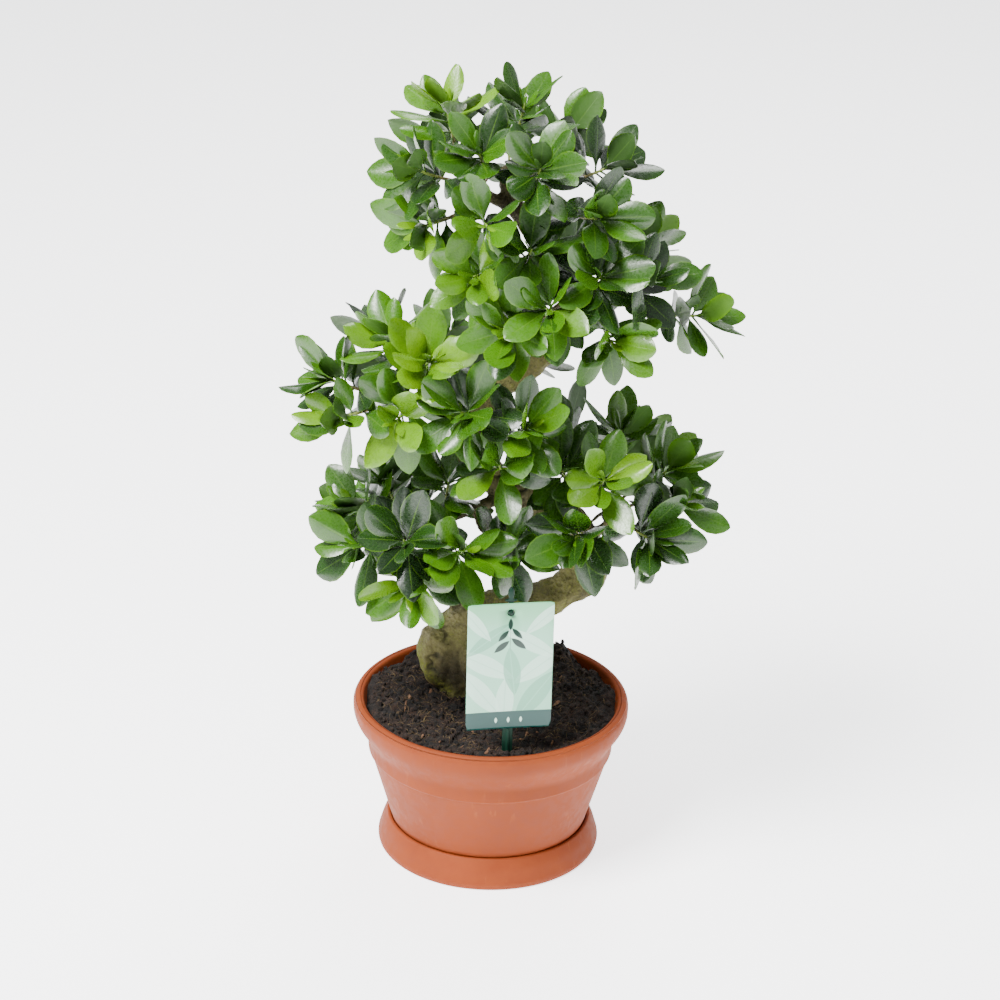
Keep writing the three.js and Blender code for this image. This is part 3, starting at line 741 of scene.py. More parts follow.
@dataclass(frozen=True)
class MouldedPlastic:
    """Matt coloured plastic with soft clouds in the pigment, rubs and a fine orange-peel."""

    colour: Colour
    pale: Colour
    dark: Colour
    roughness: float

    def make(self, shop: Workshop, name: str) -> Material:
        """Builds the material.

        Args:
            shop: Holds the shared effects.
            name: The material's name.

        Returns:
            The material.
        """
        material, board, shader = shop.material(name)
        where = board.place()
        cloud, grain = shop.effect(board, GroupName.MOTTLE, {"Vector": where, "Scale": 14.0})
        rubs = shop.effect(board, GroupName.SCUFF, {"Vector": where, "Scale": 70.0})[0]
        base = board.mix(board.times(cloud, 0.35), self.colour, self.dark)
        base = board.mix(board.times(grain, 0.12), base, self.pale)
        base = board.mix(board.times(rubs, 0.3), base, self.pale)
        rough = board.remap(grain, 0.0, 1.0, self.roughness - 0.06, self.roughness + 0.08)
        normal = board.bump(board.noise(where, 900.0, 2.0), 0.05 * MM, 0.5)
        normal = board.bump(cloud, 0.3 * MM, 0.3, normal)
        inputs = {"Base Color": base, "Roughness": rough, "Normal": normal}
        wire(board, shader, inputs, Specular_IOR_Level=0.18)
        return material


@dataclass(frozen=True)
class Earth:
    """Damp crumbly peat: dark clods, paler dry grains and a deep rough relief."""

    dark: Colour
    light: Colour
    relief: float

    def make(self, shop: Workshop, name: str) -> Material:
        """Builds the material.

        Args:
            shop: Holds the shared effects.
            name: The material's name.

        Returns:
            The material.
        """
        material, board, shader = shop.material(name)
        where = board.place()
        cloud, grain = shop.effect(board, GroupName.MOTTLE, {"Vector": where, "Scale": 90.0})
        base = board.mix(board.times(cloud, grain), self.dark, self.light)
        height = board.plus(board.times(cloud, 0.6), grain)
        normal = board.bump(height, self.relief, 0.9)
        wire(board, shader, {"Base Color": base, "Normal": normal}, Roughness=0.92)
        return material


@dataclass(frozen=True)
class Bark:
    """Fig bark: grey-brown with olive bloom, moss on the swollen roots, painted shade in the creases.
    """

    grey: Colour
    brown: Colour
    moss: Colour
    crease: Colour
    tender: Colour

    def make(self, shop: Workshop, name: str) -> Material:
        """Builds the material.

        Args:
            shop: Holds the shared effects.
            name: The material's name.

        Returns:
            The material.
        """
        material, board, shader = shop.material(name)
        where = board.place()
        cloud, grain = shop.effect(board, GroupName.MOTTLE, {"Vector": where, "Scale": 45.0})
        broad = board.remap(board.noise(where, 16.0, 3.0), 0.38, 0.62)
        base = board.mix(broad, self.grey, self.brown)
        speckle = board.remap(board.noise(where, 420.0, 3.0, 0.7), 0.5, 0.62)
        growth = board.times(board.mark("moss"), board.plus(0.35, cloud))
        growth = board.times(growth, board.plus(0.55, speckle))
        base = board.mix(board.math("MINIMUM", growth, 0.9), base, self.moss)
        base = board.mix(board.mark("tender"), base, self.tender)
        base = board.mix(board.times(grain, 0.3), base, self.crease)
        # Painted shade: the creases carved into the wood are darkened towards the crease colour.
        base = board.mix(board.mark("crease"), base, self.crease)
        pores = board.add("ShaderNodeTexVoronoi", {"Vector": where, "Scale": 330.0}).outputs["Distance"]
        height = board.plus(board.times(pores, 0.7), board.noise(where, 230.0, 6.0, 0.7))
        normal = board.bump(height, 1.7 * MM, 0.9)
        wire(board, shader, {"Base Color": base, "Normal": normal}, Roughness=0.8)
        return material


@dataclass(frozen=True)
class Leaf:
    """A waxy leaf that darkens with age, paler below, with a light midrib and faint veins; painted
    light makes the front shoots brighter and lights the margin.
    """

    old: Colour
    grown: Colour
    fresh: Colour
    young: Colour
    rib: Colour
    below: Colour
    veins: float = 11.0

    def make(self, shop: Workshop, name: str) -> Material:
        """Builds the material.

        Veins are stripes of u veins - |v| slope, where u runs along the leaf and v across it.

        Args:
            shop: Holds the shared effects.
            name: The material's name.

        Returns:
            The material.
        """
        material, board, shader = shop.material(name)
        where = board.place()
        x, y, _ = board.apart(board.add("ShaderNodeUVMap", uv_map="Sheet").outputs[0])
        side = board.math("ABSOLUTE", board.less(board.times(y, 2.0), 1.0))
        # The ramp reads age with painted light added: shoots at the front are painted brighter.
        ramp = board.add("ShaderNodeValToRGB", {0: board.mark("youth_and_front_light")})
        stops = ramp.color_ramp.elements
        stops[0].color, stops[1].color = self.old, self.young
        for at, colour in ((0.35, self.grown), (0.7, self.fresh)):
            stops.new(at).color = colour
        cloud, grain = shop.effect(board, GroupName.MOTTLE, {"Vector": where, "Scale": 60.0})
        base = board.mix(board.times(cloud, 0.28), ramp.outputs[0], self.old)
        # Painted light: the margin is lightened towards the young colour, as light shining through the
        # thin edge.
        edge = board.times(board.remap(side, 0.86, 1.0), 0.3)
        base = board.mix(edge, base, self.young)
        slant = board.less(board.times(x, self.veins), board.times(side, 2.2))
        wave = board.math("ABSOLUTE", board.less(board.math("FRACT", slant), 0.5))
        vein = board.times(board.remap(wave, 0.4, 0.5), board.remap(side, 0.1, 0.3))
        base = board.mix(board.times(vein, 0.08), base, self.rib)
        taper = board.times(board.less(1.05, x), 0.11)
        rib = board.remap(board.math("DIVIDE", side, taper), 0.5, 1.1, 1.0, 0.0)
        base = board.mix(board.times(rib, 0.36), base, self.rib)
        base = board.mix(board.times(board.mark("under"), 0.45), base, self.below)
        rough = board.remap(board.plus(board.mark("under"), grain), 0.0, 2.0, 0.24, 0.6)
        height = board.less(board.times(wave, 0.8), rib)
        normal = board.bump(height, 0.12 * MM, 0.4)
        wire(
            board,
            shader,
            {"Base Color": base, "Roughness": rough, "Normal": normal},
            Coat_Weight=0.1,
            Coat_Roughness=0.16,
        )
        return material


@dataclass(frozen=True)
class GreenStem:
    """A tender shoot: green at its tip, corky brown lower down."""

    green: Colour
    cork: Colour

    def make(self, shop: Workshop, name: str) -> Material:
        """Builds the material.

        Args:
            shop: Holds the shared effects.
            name: The material's name.

        Returns:
            The material.
        """
        material, board, shader = shop.material(name)
        where = board.place()
        cloud, grain = shop.effect(board, GroupName.MOTTLE, {"Vector": where, "Scale": 120.0})
        base = board.mix(board.remap(board.mark("youth_and_front_light"), 0.2, 0.9), self.cork, self.green)
        base = board.mix(board.times(cloud, 0.3), base, self.cork)
        normal = board.bump(grain, 0.2 * MM, 0.6)
        wire(board, shader, {"Base Color": base, "Normal": normal}, Roughness=0.55)
        return material


@dataclass(frozen=True)
class PrintedCard:
    """A printed card: soft overlapping leaves on pale mint, a teal foot with three water drops."""

    top: Colour
    mint: Colour
    light: Colour
    shade: Colour
    teal: Colour
    ink: Colour
    band: float = 0.14

    def shape(
        self,
        shop: Workshop,
        board: Board,
        sheet: Socket,
        middle: tuple[float, float],
        turn: float,
        half: tuple[float, float],
    ) -> Any:
        """Prints one leaf or drop.

        Args:
            shop: Holds the shared effects.
            board: The material's board.
            sheet: The card's own map.
            middle: Where its middle is on that map.
            turn: Its turn from lying along the map's x, in radians.
            half: Half its length and half its width.

        Returns:
            The outputs Mask and Rib.
        """
        values = {"Vector": sheet, "Middle": (*middle, 0.0), "Turn": turn}
        values |= {"Half Length": half[0], "Half Width": half[1]}
        return shop.effect(board, GroupName.LEAF_SHAPE, values)

    def make(self, shop: Workshop, name: str) -> Material:
        """Builds the material on the card's own map, where 1 is the card's height both ways.

        Args:
            shop: Holds the shared effects.
            name: The material's name.

        Returns:
            The material.
        """
        material, board, shader = shop.material(name)
        sheet = board.add("ShaderNodeUVMap", uv_map="Sheet").outputs[0]
        x, y, _ = board.apart(sheet)
        base = board.mix(board.remap(y, 0.7, 1.0), self.mint, self.top)
        leaves = [
            ((0.10, 0.30), 0.9, 0.26, 0.075, self.light),
            ((0.50, 0.26), 2.2, 0.25, 0.08, self.shade),
            ((0.28, 0.22), 1.6, 0.2, 0.07, self.light),
            ((0.13, 0.52), 0.5, 0.25, 0.075, self.light),
            ((0.53, 0.50), 2.5, 0.24, 0.07, self.light),
            ((0.33, 0.46), 1.45, 0.2, 0.065, self.shade),
            ((0.46, 0.68), 0.55, 0.26, 0.06, self.light),
            ((0.16, 0.72), 2.5, 0.22, 0.055, self.shade),
            ((0.05, 0.86), 0.9, 0.2, 0.05, self.light),
            ((0.56, 0.88), 2.4, 0.2, 0.05, self.light),
        ]
        for middle, turn, length, width, colour in leaves:
            mask, rib = self.shape(shop, board, sheet, middle, turn, (length, width))
            base = board.mix(board.times(mask, 0.75), base, colour)
            base = board.mix(board.times(rib, 0.5), base, self.mint)
        sprig = [
            ((0.311, 0.70), 1.571, 0.13, 0.0045),
            ((0.250, 0.66), 2.45, 0.075, 0.026),
            ((0.372, 0.68), 0.69, 0.075, 0.026),
            ((0.262, 0.745), 2.3, 0.062, 0.022),
            ((0.360, 0.76), 0.84, 0.062, 0.022),
            ((0.311, 0.835), 1.571, 0.052, 0.02),
        ]
        for middle, turn, length, width in sprig:
            mask = self.shape(shop, board, sheet, middle, turn, (length, width))[0]
            base = board.mix(mask, base, self.ink)
        foot = board.remap(y, self.band - 0.002, self.band + 0.002, 1.0, 0.0)
        base = board.mix(foot, base, self.teal)
        for u in (0.22, 0.311, 0.402):
            mask = self.shape(shop, board, sheet, (u, 0.07), 1.571, (0.026, 0.013))[0]
            base = board.mix(mask, base, self.light)
        grain = board.noise(board.place(), 700.0, 2.0)
        normal = board.bump(grain, 0.03 * MM, 0.4)
        rough = board.remap(grain, 0.2, 0.8, 0.3, 0.42)
        wire(board, shader, {"Base Color": base, "Roughness": rough, "Normal": normal})
        return material


@dataclass(frozen=True)
class PaintedFloor:
    """A plain pale studio floor, lit from within so that it stays bright."""

    colour: Colour

    def make(self, shop: Workshop, name: str) -> Material:
        """Builds the material.

        Args:
            shop: Holds the shared effects.
            name: The material's name.

        Returns:
            The material.
        """
        material, board, shader = shop.material(name)
        cloud = board.noise(board.place(), 3.0, 3.0)
        base = board.mix(board.times(cloud, 0.04), self.colour, rgb(235, 236, 238))
        plain = {"Roughness": 0.85, "Emission_Color": self.colour, "Emission_Strength": 2.3}
        wire(board, shader, {"Base Color": base}, **plain)
        return material


# ---- Pot, saucer and soil -----------------------------------------------------------------


@dataclass
class Pot:
    """The bowl pot: rolled rim, a plain band, a tapered wall and a ring foot.

    Attributes:
        overhang: How far the rim stands out past the band.
        rim_drop: From the top of the rim to the top of the band.
        band: Height of the band.
        step: How far the band stands proud of the wall under it.
        wall: Wall thickness.
        floor: Floor thickness.
        foot_width: Width of the ring that the pot stands on.
        foot_rise: Height of the floor's underside above the ring.
        base_radius: Outside of the ring.
    """

    overhang: float = 12 * MM
    rim_drop: float = 33 * MM
    band: float = 12 * MM
    step: float = 1.8 * MM
    wall: float = 2.6 * MM
    floor: float = 3 * MM
    foot_width: float = 9 * MM
    foot_rise: float = 2 * MM
    base_radius: float = 73 * MM

    def profile(self) -> Array:
        """The wall's section, from the axis under the floor, out, over the rim and back.

        Returns:
            [radius, height] rows, both ends on the axis.
        """
        low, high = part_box("pot")
        rim, bottom, top = high.x, low.z, high.z
        band_radius = rim - self.overhang
        band_top = top - self.rim_drop
        band_foot = band_top - self.band
        inner_foot = self.base_radius - self.foot_width
        deck = bottom + self.foot_rise + self.floor
        corners = [
            (0.0, bottom + self.foot_rise, 0.0),
            (inner_foot - 1 * MM, bottom + self.foot_rise, 0.6 * MM),
            (inner_foot, bottom, 0.8 * MM),
            (self.base_radius, bottom, 1.2 * MM),
            (band_radius - self.step, band_foot - 0.6 * MM, 1.2 * MM),
            (band_radius - 0.1 * MM, band_foot + 0.7 * MM, 0.9 * MM),
            (band_radius + 0.3 * MM, band_top, 3 * MM),
            (band_radius + self.overhang * 0.45, band_top + self.rim_drop * 0.27, 5 * MM),
            (rim, band_top + self.rim_drop * 0.58, 6 * MM),
            (rim, top - 3.5 * MM, 2.6 * MM),
            (rim - 3.4 * MM, top + 0.4 * MM, 2.6 * MM),
            (rim - 8 * MM, top, 2.8 * MM),
            (rim - 9.6 * MM, top - 6 * MM, 2.5 * MM),
            (band_radius - self.wall, band_top, 3 * MM),
            (self.base_radius - self.wall + 0.6 * MM, deck, 1.5 * MM),
            (0.0, deck, 0.0),
        ]
        return soft_profile(corners)

    def build(self, plastic: Material) -> None:
        """Makes the pot."""
        surface = turned(self.profile(), ROUND, 0.25 * MM, 11)
        place(surface.piece("pot_shell", [plastic]), Slot.TERRACOTTA, "pot")


@dataclass
class Saucer:
    """The saucer, whose skirt leans in to a rolled lip close round the pot.

    Attributes:
        floor: Floor thickness.
        wall: Wall thickness.
        lean: How far the lip stands in from the foot.
    """

    floor: float = 3 * MM
    wall: float = 2.4 * MM
    lean: float = 10 * MM

    def build(self, plastic: Material) -> None:
        """Makes the saucer.

        Args:
            plastic: Its material.
        """
        _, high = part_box("saucer")
        wide, top = high.x, high.z
        lip = wide - self.lean
        corners = [
            (0.0, 0.0, 0.0),
            (wide - 0.8 * MM, 0.0, 1.2 * MM),
            (wide + 0.1 * MM, 3.6 * MM, 2 * MM),
            (wide - 1.6 * MM, top * 0.38, 3 * MM),
            (wide - 3.6 * MM, top * 0.66, 3 * MM),
            (lip + 2.4 * MM, top + 0.2 * MM, 1.4 * MM),
            (lip + 0.1 * MM, top, 0.8 * MM),
            (lip + 0.1 * MM, top - 2 * MM, 0.8 * MM),
            (wide - 3.6 * MM - self.wall, top * 0.6, 3 * MM),
            (wide - 1 * MM - self.wall, self.floor, 2 * MM),
            (0.0, self.floor, 0.0),
        ]
        surface = turned(soft_profile(corners), ROUND, 0.2 * MM, 12)
        place(surface.piece("saucer_dish", [plastic]), Slot.TERRACOTTA, "saucer")


@dataclass
class Soil:
    """The peat: a lumpy surface with loose crumbs, fibres and a few chips of bark.

    Attributes:
        rings: Rings of the surface's grid.
        turns: Points in each ring.
        crumbs: Number of loose crumbs.
        fibres: Number of loose fibres.
        chips: Number of bark chips.
    """

    rings: int = 150
    turns: int = 460
    crumbs: int = 1900
    fibres: int = 900
    chips: int = 30

    def __post_init__(self) -> None:
        """Reads the surface of the CAD soil: the points near its top."""
        points, _ = cad_mesh("soil")
        low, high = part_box("soil")
        self.low, self.radius = low, max(high.x, high.y)
        top = points[points[:, 2] > high.z - 22 * MM]
        keys = np.round(top[:, :2], 4)
        _, first = np.unique(keys, axis=0, return_index=True)
        self.known = top[first]

    def height(self, x: Array, y: Array) -> Array:
        """Height of the soil at places.

        The CAD heights are weighed by 1 / (distance^4), then lumps of three sizes are added, and
        a few heaps of up to 9 mm against the back of the wall.

        Args:
            x: Places across.
            y: Places to the back.

        Returns:
            Heights in metres.
        """
        shape = x.shape
        flat = np.stack([x.ravel(), y.ravel()], axis=-1)
        far = ((flat[:, None, :] - self.known[None, :, :2]) ** 2).sum(axis=2)
        weight = 1.0 / (far + (4 * MM) ** 2) ** 2
        base = (weight * self.known[None, :, 2]).sum(axis=1) / weight.sum(axis=1)
        where = np.concatenate([flat, np.zeros((len(flat), 1))], axis=1)
        rough = 2.6 * MM * lumps(where, 14 * MM, 21)
        rough += 2.8 * MM * np.abs(lumps(where, 6.5 * MM, 22))
        rough += 1.5 * MM * lumps(where, 2.8 * MM, 23)
        heap = smooth_step(np.hypot(flat[:, 0], flat[:, 1]), 0.62 * self.radius, 0.95 * self.radius)
        heap *= smooth_step(flat[:, 1], -0.2 * self.radius, 0.5 * self.radius)
        rough += 9 * MM * heap * np.clip(lumps(where, 26 * MM, 24) + 0.3, 0.0, 1.0)
        return (base + rough).reshape(shape)

    def ground(self) -> Surface:
        """The peat as rings out to the wall and one ring at the bottom, closed by two poles.

        Returns:
            The closed surface.
        """
        share = np.linspace(0.02, 1.0, self.rings)[:, None] ** 0.8
        angle = around(self.turns)
        x = self.radius * share * np.cos(angle)
        y = self.radius * share * np.sin(angle)
        z = self.height(x, y)
        sink = smooth_step(share, 0.94, 1.0) * 2.5 * MM
        top = np.stack([x, y, z - sink], axis=-1).reshape(-1, 3)
        rim = top[-self.turns :]
        foot = rim * np.array([0.72, 0.72, 0.0]) + np.array([0.0, 0.0, self.low.z])
        poles = np.array([[0.0, 0.0, float(z[0].mean())], [0.0, 0.0, self.low.z]])
        faces = tube_faces(self.rings + 1, self.turns)
        return Surface(np.concatenate([top, foot, poles]), faces)

    def scatter(self, count: int, rng: np.random.Generator, inset: float) -> Array:
        """Places on the soil, spread evenly over its disc.

        Args:
            count: How many.
            rng: Source of the places.
            inset: How far they stay from the wall.

        Returns:
            The places, one row each.
        """
        share = np.sqrt(rng.uniform(0.0, 1.0, count)) * (self.radius - inset)
        angle = rng.uniform(0.0, TURN, count)
        x, y = share * np.cos(angle), share * np.sin(angle)
        return np.stack([x, y, self.height(x, y)], axis=-1)

    def crumb_heap(self) -> Surface:
        """Small clods: a five-sided ball of three rings, each point moved by its own amount.

        Returns:
            All of them as one surface.
        """
        rng = np.random.default_rng(31)
        centres = self.scatter(self.crumbs, rng, 4 * MM)
        sides, levels = 5, 3
        angle = around(sides)
        tilt = np.linspace(-0.9, 0.9, levels)[:, None]
        wide, high = np.cos(tilt), np.sin(tilt) + 0 * angle
        ball = np.stack([wide * np.cos(angle), wide * np.sin(angle), high], axis=-1)
        ball = np.concatenate([ball.reshape(-1, 3), [[0, 0, -1.0], [0, 0, 1.0]]])
        size = rng.uniform(0.6, 2.2, (self.crumbs, 1, 1)) ** 1.4 * MM
        flat = rng.uniform(0.55, 1.0, (self.crumbs, 1, 3))
        uneven = rng.uniform(0.72, 1.28, (self.crumbs, len(ball), 1))
        points = centres[:, None] + ball[None] * size * flat * uneven
        points[..., 2] += 0.3 * size[..., 0]
        faces = repeated(tube_faces(levels, sides), len(ball), self.crumbs)
        return Surface(points.reshape(-1, 3), faces)

    def strands(
        self, count: int, seed: int, length: float, radius: float, lift: float, curl: float
    ) -> Surface:
        """Loose fibres and chips: thin three-sided tubes along short bent lines on the soil.

        Args:
            count: How many.
            seed: Picks their places and bends.
            length: Mean length.
            radius: Mean radius.
            lift: How far their middles stand up.
            curl: How much they bend, in radians over their length.

        Returns:
            All of them as one surface.
        """
        rng = np.random.default_rng(seed)
        start = self.scatter(count, rng, 10 * MM)
        heading = rng.uniform(0.0, TURN, (count, 1))
        bend = rng.normal(0.0, curl, (count, 1))
        reach = length * rng.uniform(0.5, 1.5, (count, 1))
        steps, sides = 5, 3
        share = np.linspace(-0.5, 0.5, steps)[None]
        course = heading + bend * share
        x = start[:, :1] + reach * share * np.cos(course)
        y = start[:, 1:2] + reach * share * np.sin(course)
        limit = np.maximum(np.hypot(x, y) / (self.radius - 3 * MM), 1.0)
        x, y = x / limit, y / limit
        arch = lift * rng.uniform(0.2, 1.0, (count, 1)) * (1.0 - 4.0 * share**2)
        z = self.height(x, y) + radius * 0.5 + arch
        line = np.stack([x, y, z], axis=-1)
        angle = around(sides)
        taper = radius * rng.uniform(0.6, 1.4, (count, 1)) * (1.15 - 1.6 * share**2 * 2.0)
        side = np.stack([-np.sin(course), np.cos(course), 0 * course], axis=-1)
        up = np.array([0.0, 0.0, 1.0])
        ring = side[:, :, None] * np.cos(angle)[:, None] + up * np.sin(angle)[:, None]
        points = line[:, :, None] + ring * taper[:, :, None, None]
        body = grid_faces(steps, sides, True)
        block = steps * sides
        caps = np.array([[2, 1, 0], [block - 3, block - 2, block - 1]])
        return Surface(points.reshape(-1, 3), repeated([body, caps], block, count))

    def build(self, peat: Material, dry: Material, straw: Material) -> None:
        """Makes the ground and what lies on it.

        Args:
            peat: Material of the ground and the crumbs.
            dry: Material of the fibres.
            straw: Material of the chips.
        """
        place(self.ground().piece("soil_ground", [peat]), Slot.SOIL, "soil")
        place(self.crumb_heap().piece("soil_crumbs", [peat]), Slot.SOIL)
        fibres = self.strands(self.fibres, 32, 8 * MM, 0.2 * MM, 2.5 * MM, 0.8)
        place(fibres.piece("soil_fibres", [dry]), Slot.SOIL)
        chips = self.strands(self.chips, 33, 5 * MM, 1.2 * MM, 0.5 * MM, 0.25)
        place(chips.piece("soil_chips", [straw]), Slot.SOIL)


# ---- Label --------------------------------------------------------------------------------


@dataclass
class Label:
    """The care card and the stake that it hangs on.

    Attributes:
        hole_drop: Hole's centre below the card's top edge.
        hole_radius: Radius of the hole.
        corner: Radius of the card's corners.
        bow: How far the card's sides bow forward of its middle.
    """

    hole_drop: float = 8 * MM
    hole_radius: float = 2.9 * MM
    corner: float = 2 * MM
    bow: float = 0.7 * MM

    def card(self) -> Surface:
        """The card as a closed ring grid: hole, front, outer edge, back and hole again.

        Each spoke runs from the hole's circle to where it meets the rounded rectangle, and the
        thickness is set square to the face.

        Returns:
            The closed surface, with its flat map.
        """
        points, _ = cad_mesh("label_card")
        middle = points.mean(axis=0)
        low, high = points.min(axis=0), points.max(axis=0)
        spread = np.linalg.eigh(np.cov((points - middle)[:, :2].T))
        across = np.append(spread[1][:, 1], 0.0)
        across *= np.sign(across[0])
        front = np.array([across[1], -across[0], 0.0])
        reach = (points - middle) @ across
        depth = (points - middle) @ front
        half = (reach.max() - reach.min()) / 2
        centre = middle + across * (reach.max() + reach.min()) / 2
        centre = centre + front * (depth.max() + depth.min()) / 2
        tall = high[2] - low[2]
        hole_up = tall - self.hole_drop
        spokes = 240
        angle = around(spokes)
        toward = np.stack([np.cos(angle), np.sin(angle)], axis=-1)
        side = half / np.maximum(np.abs(toward[:, 0]), 1e-9)
        upward = np.where(toward[:, 1] > 0, tall - hole_up, hole_up)
        upward = upward / np.maximum(np.abs(toward[:, 1]), 1e-9)
        outer = toward * np.minimum(side, upward)[:, None] + [0.0, hole_up]
        outer = self.rounded(outer, half, tall)
        hole = toward * self.hole_radius + [0.0, hole_up]
        shares = np.array([0.0, 0.25, 0.5, 0.75, 0.985, 1.0])[:, None, None]
        face = hole + (outer - hole) * shares
        thick = (depth.max() - depth.min()) / 2
        levels = np.full((len(shares), 1), thick)
        levels[-1] = levels[0] = thick * 0.55
        rings = np.concatenate([face, face[::-1]])
        level = np.concatenate([levels, -levels[::-1]])
        bow = self.bow * (rings[..., 0] / half) ** 2
        placed = centre * [1, 1, 0] + [0, 0, low[2]]
        points = placed + rings[..., :1] * across + rings[..., 1:] * np.array([0.0, 0.0, 1.0])
        points = points + (level + bow)[..., None] * front
        count = len(rings)
        faces = grid_faces(count, spokes, True)
        seam = np.arange(spokes) + (count - 1) * spokes
        after = np.roll(seam, -1)
        closing = np.stack([seam, after, (after % spokes), (seam % spokes)], axis=-1)
        sheet = np.stack([(rings[..., 0] + half) / tall, rings[..., 1] / tall], axis=-1)
        return Surface(points.reshape(-1, 3), [faces, closing], sheet=sheet.reshape(-1, 2))

    def rounded(self, outer: Array, half: float, tall: float) -> Array:
        """Pulls points of the rectangle's edge that lie past a corner's circle onto it.

        Args:
            outer: Points on the edge, across and up.
            half: Half the card's width.
            tall: The card's height.

        Returns:
            The moved points.
        """
        across = np.clip(outer[:, 0], self.corner - half, half - self.corner)
        upward = np.clip(outer[:, 1], self.corner, tall - self.corner)
        near = np.stack([across, upward], axis=-1)
        away = outer - near
        far = np.linalg.norm(away, axis=1, keepdims=True)
        return near + away * np.minimum(1.0, self.corner / np.maximum(far, 1e-9))

    def build(self, print_: Material, plastic: Material) -> None:
        """Makes the card and the stake.

        Args:
            print_: The card's material.
            plastic: The stake's material.
        """
        place(self.card().piece("care_card", [print_]), Slot.LABEL, "label_card")
        points, quads, _ = even_copy("label_stake", 0.5 * MM, 8)
        place(Surface(points, [quads]).piece("care_stake", [plastic]), Slot.STAKE, "label_stake")


# ---- Wood ---------------------------------------------------------------------------------


@dataclass
class Wood:
    """The trunk with its roots and branches, smoothed and roughened with bark.

    Attributes:
        voxel: Size of the faces.
        rounds: Rounds of smoothing.
        thick: Girth, as a radius, from which the bark has its full relief.
    """

    voxel: float = 1.35 * MM
    rounds: int = 14
    thick: float = 12 * MM

    def girth(self, points: Array, edges: Array) -> Array:
        """Radius of the wood round each point.

        On an even mesh a point's offset from its neighbours' mean is spacing^2 / (4 radius).

        Args:
            points: Places, one row each.
            edges: Pairs of point numbers.

        Returns:
            One radius for each point.
        """
        spacing = np.linalg.norm(points[edges[:, 0]] - points[edges[:, 1]], axis=1).mean()
        offset = np.linalg.norm(neighbour_mean(points, edges) - points, axis=1, keepdims=True)
        for _ in range(24):
            offset = neighbour_mean(offset, edges)
        return spacing**2 / (4.0 * np.maximum(offset[:, 0], 1e-7))

    def build(self, bark: Material) -> None:
        """Makes the wood.

        The relief is lumps of three sizes, less creases where a fourth noise crosses zero.

        Args:
            bark: Its material.
        """
        points, quads, edges = even_copy("trunk", self.voxel, self.rounds)
        full = smooth_step(self.girth(points, edges), 1.5 * MM, self.thick)
        along = points * np.array([1.0, 1.0, 1.35])
        relief = 2.6 * lumps(points, 22 * MM, 41) + 1.5 * lumps(points, 10 * MM, 42)
        relief += 0.9 * lumps(points, 4.5 * MM, 43)
        crossing = np.abs(lumps(along, 17 * MM, 44) + 0.25 * lumps(points, 5 * MM, 45))
        crease = 1.0 - smooth_step(crossing, 0.02, 0.16)
        crease = crease * smooth_step(lumps(points, 40 * MM, 46), -0.4, 0.3)
        knots = smooth_step(lumps(points, 13 * MM, 47), 0.5, 0.85)
        normal = normals_of(points, quads)
        height = (relief - 2.2 * crease + 2.4 * knots) * full
        height = height + 0.25 * lumps(points, 3 * MM, 48) * (1 - full)
        moved = points + normal * (height * MM)[:, None]
        soil_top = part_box("soil")[1].z
        up = moved[:, 2] - soil_top
        moss = smooth_step(-up, -75 * MM, -10 * MM) + 0.45
        moss *= smooth_step(lumps(points, 30 * MM, 49), -0.7, 0.4)
        tender = 1.0 - smooth_step(up, -6 * MM, 6 * MM)
        tender = tender * smooth_step(lumps(points, 12 * MM, 50), -0.1, 0.5)
        # Painted shade: the colour darkens where the creases are carved in.
        crease_shade = np.clip(crease * full * 0.75, 0, 1)
        marks = {"crease": crease_shade, "moss": moss * full, "tender": tender * 0.85}
        surface = Surface(moved, [quads], marks)
        place(surface.piece("wood", [bark]), Slot.BARK, "trunk")


# ---- Shoots -------------------------------------------------------------------------------


@dataclass
class ShootFrame:
    """One shoot as its CAD node gives it.

    Attributes:
        line: The stem's centre line, from its foot to the bud's point.
        base: Foot of each leaf on that line.
        along: Unit vectors along the leaves.
        up: Unit vectors out of their upper faces.
        length: Lengths of the leaves, with their stalks.
        width: Widths of the leaves.
        age: 1 for the oldest leaf, 0 for the youngest.
    """

    line: Array
    base: Array
    along: Array
    up: Array
    length: Array
    width: Array
    age: Array


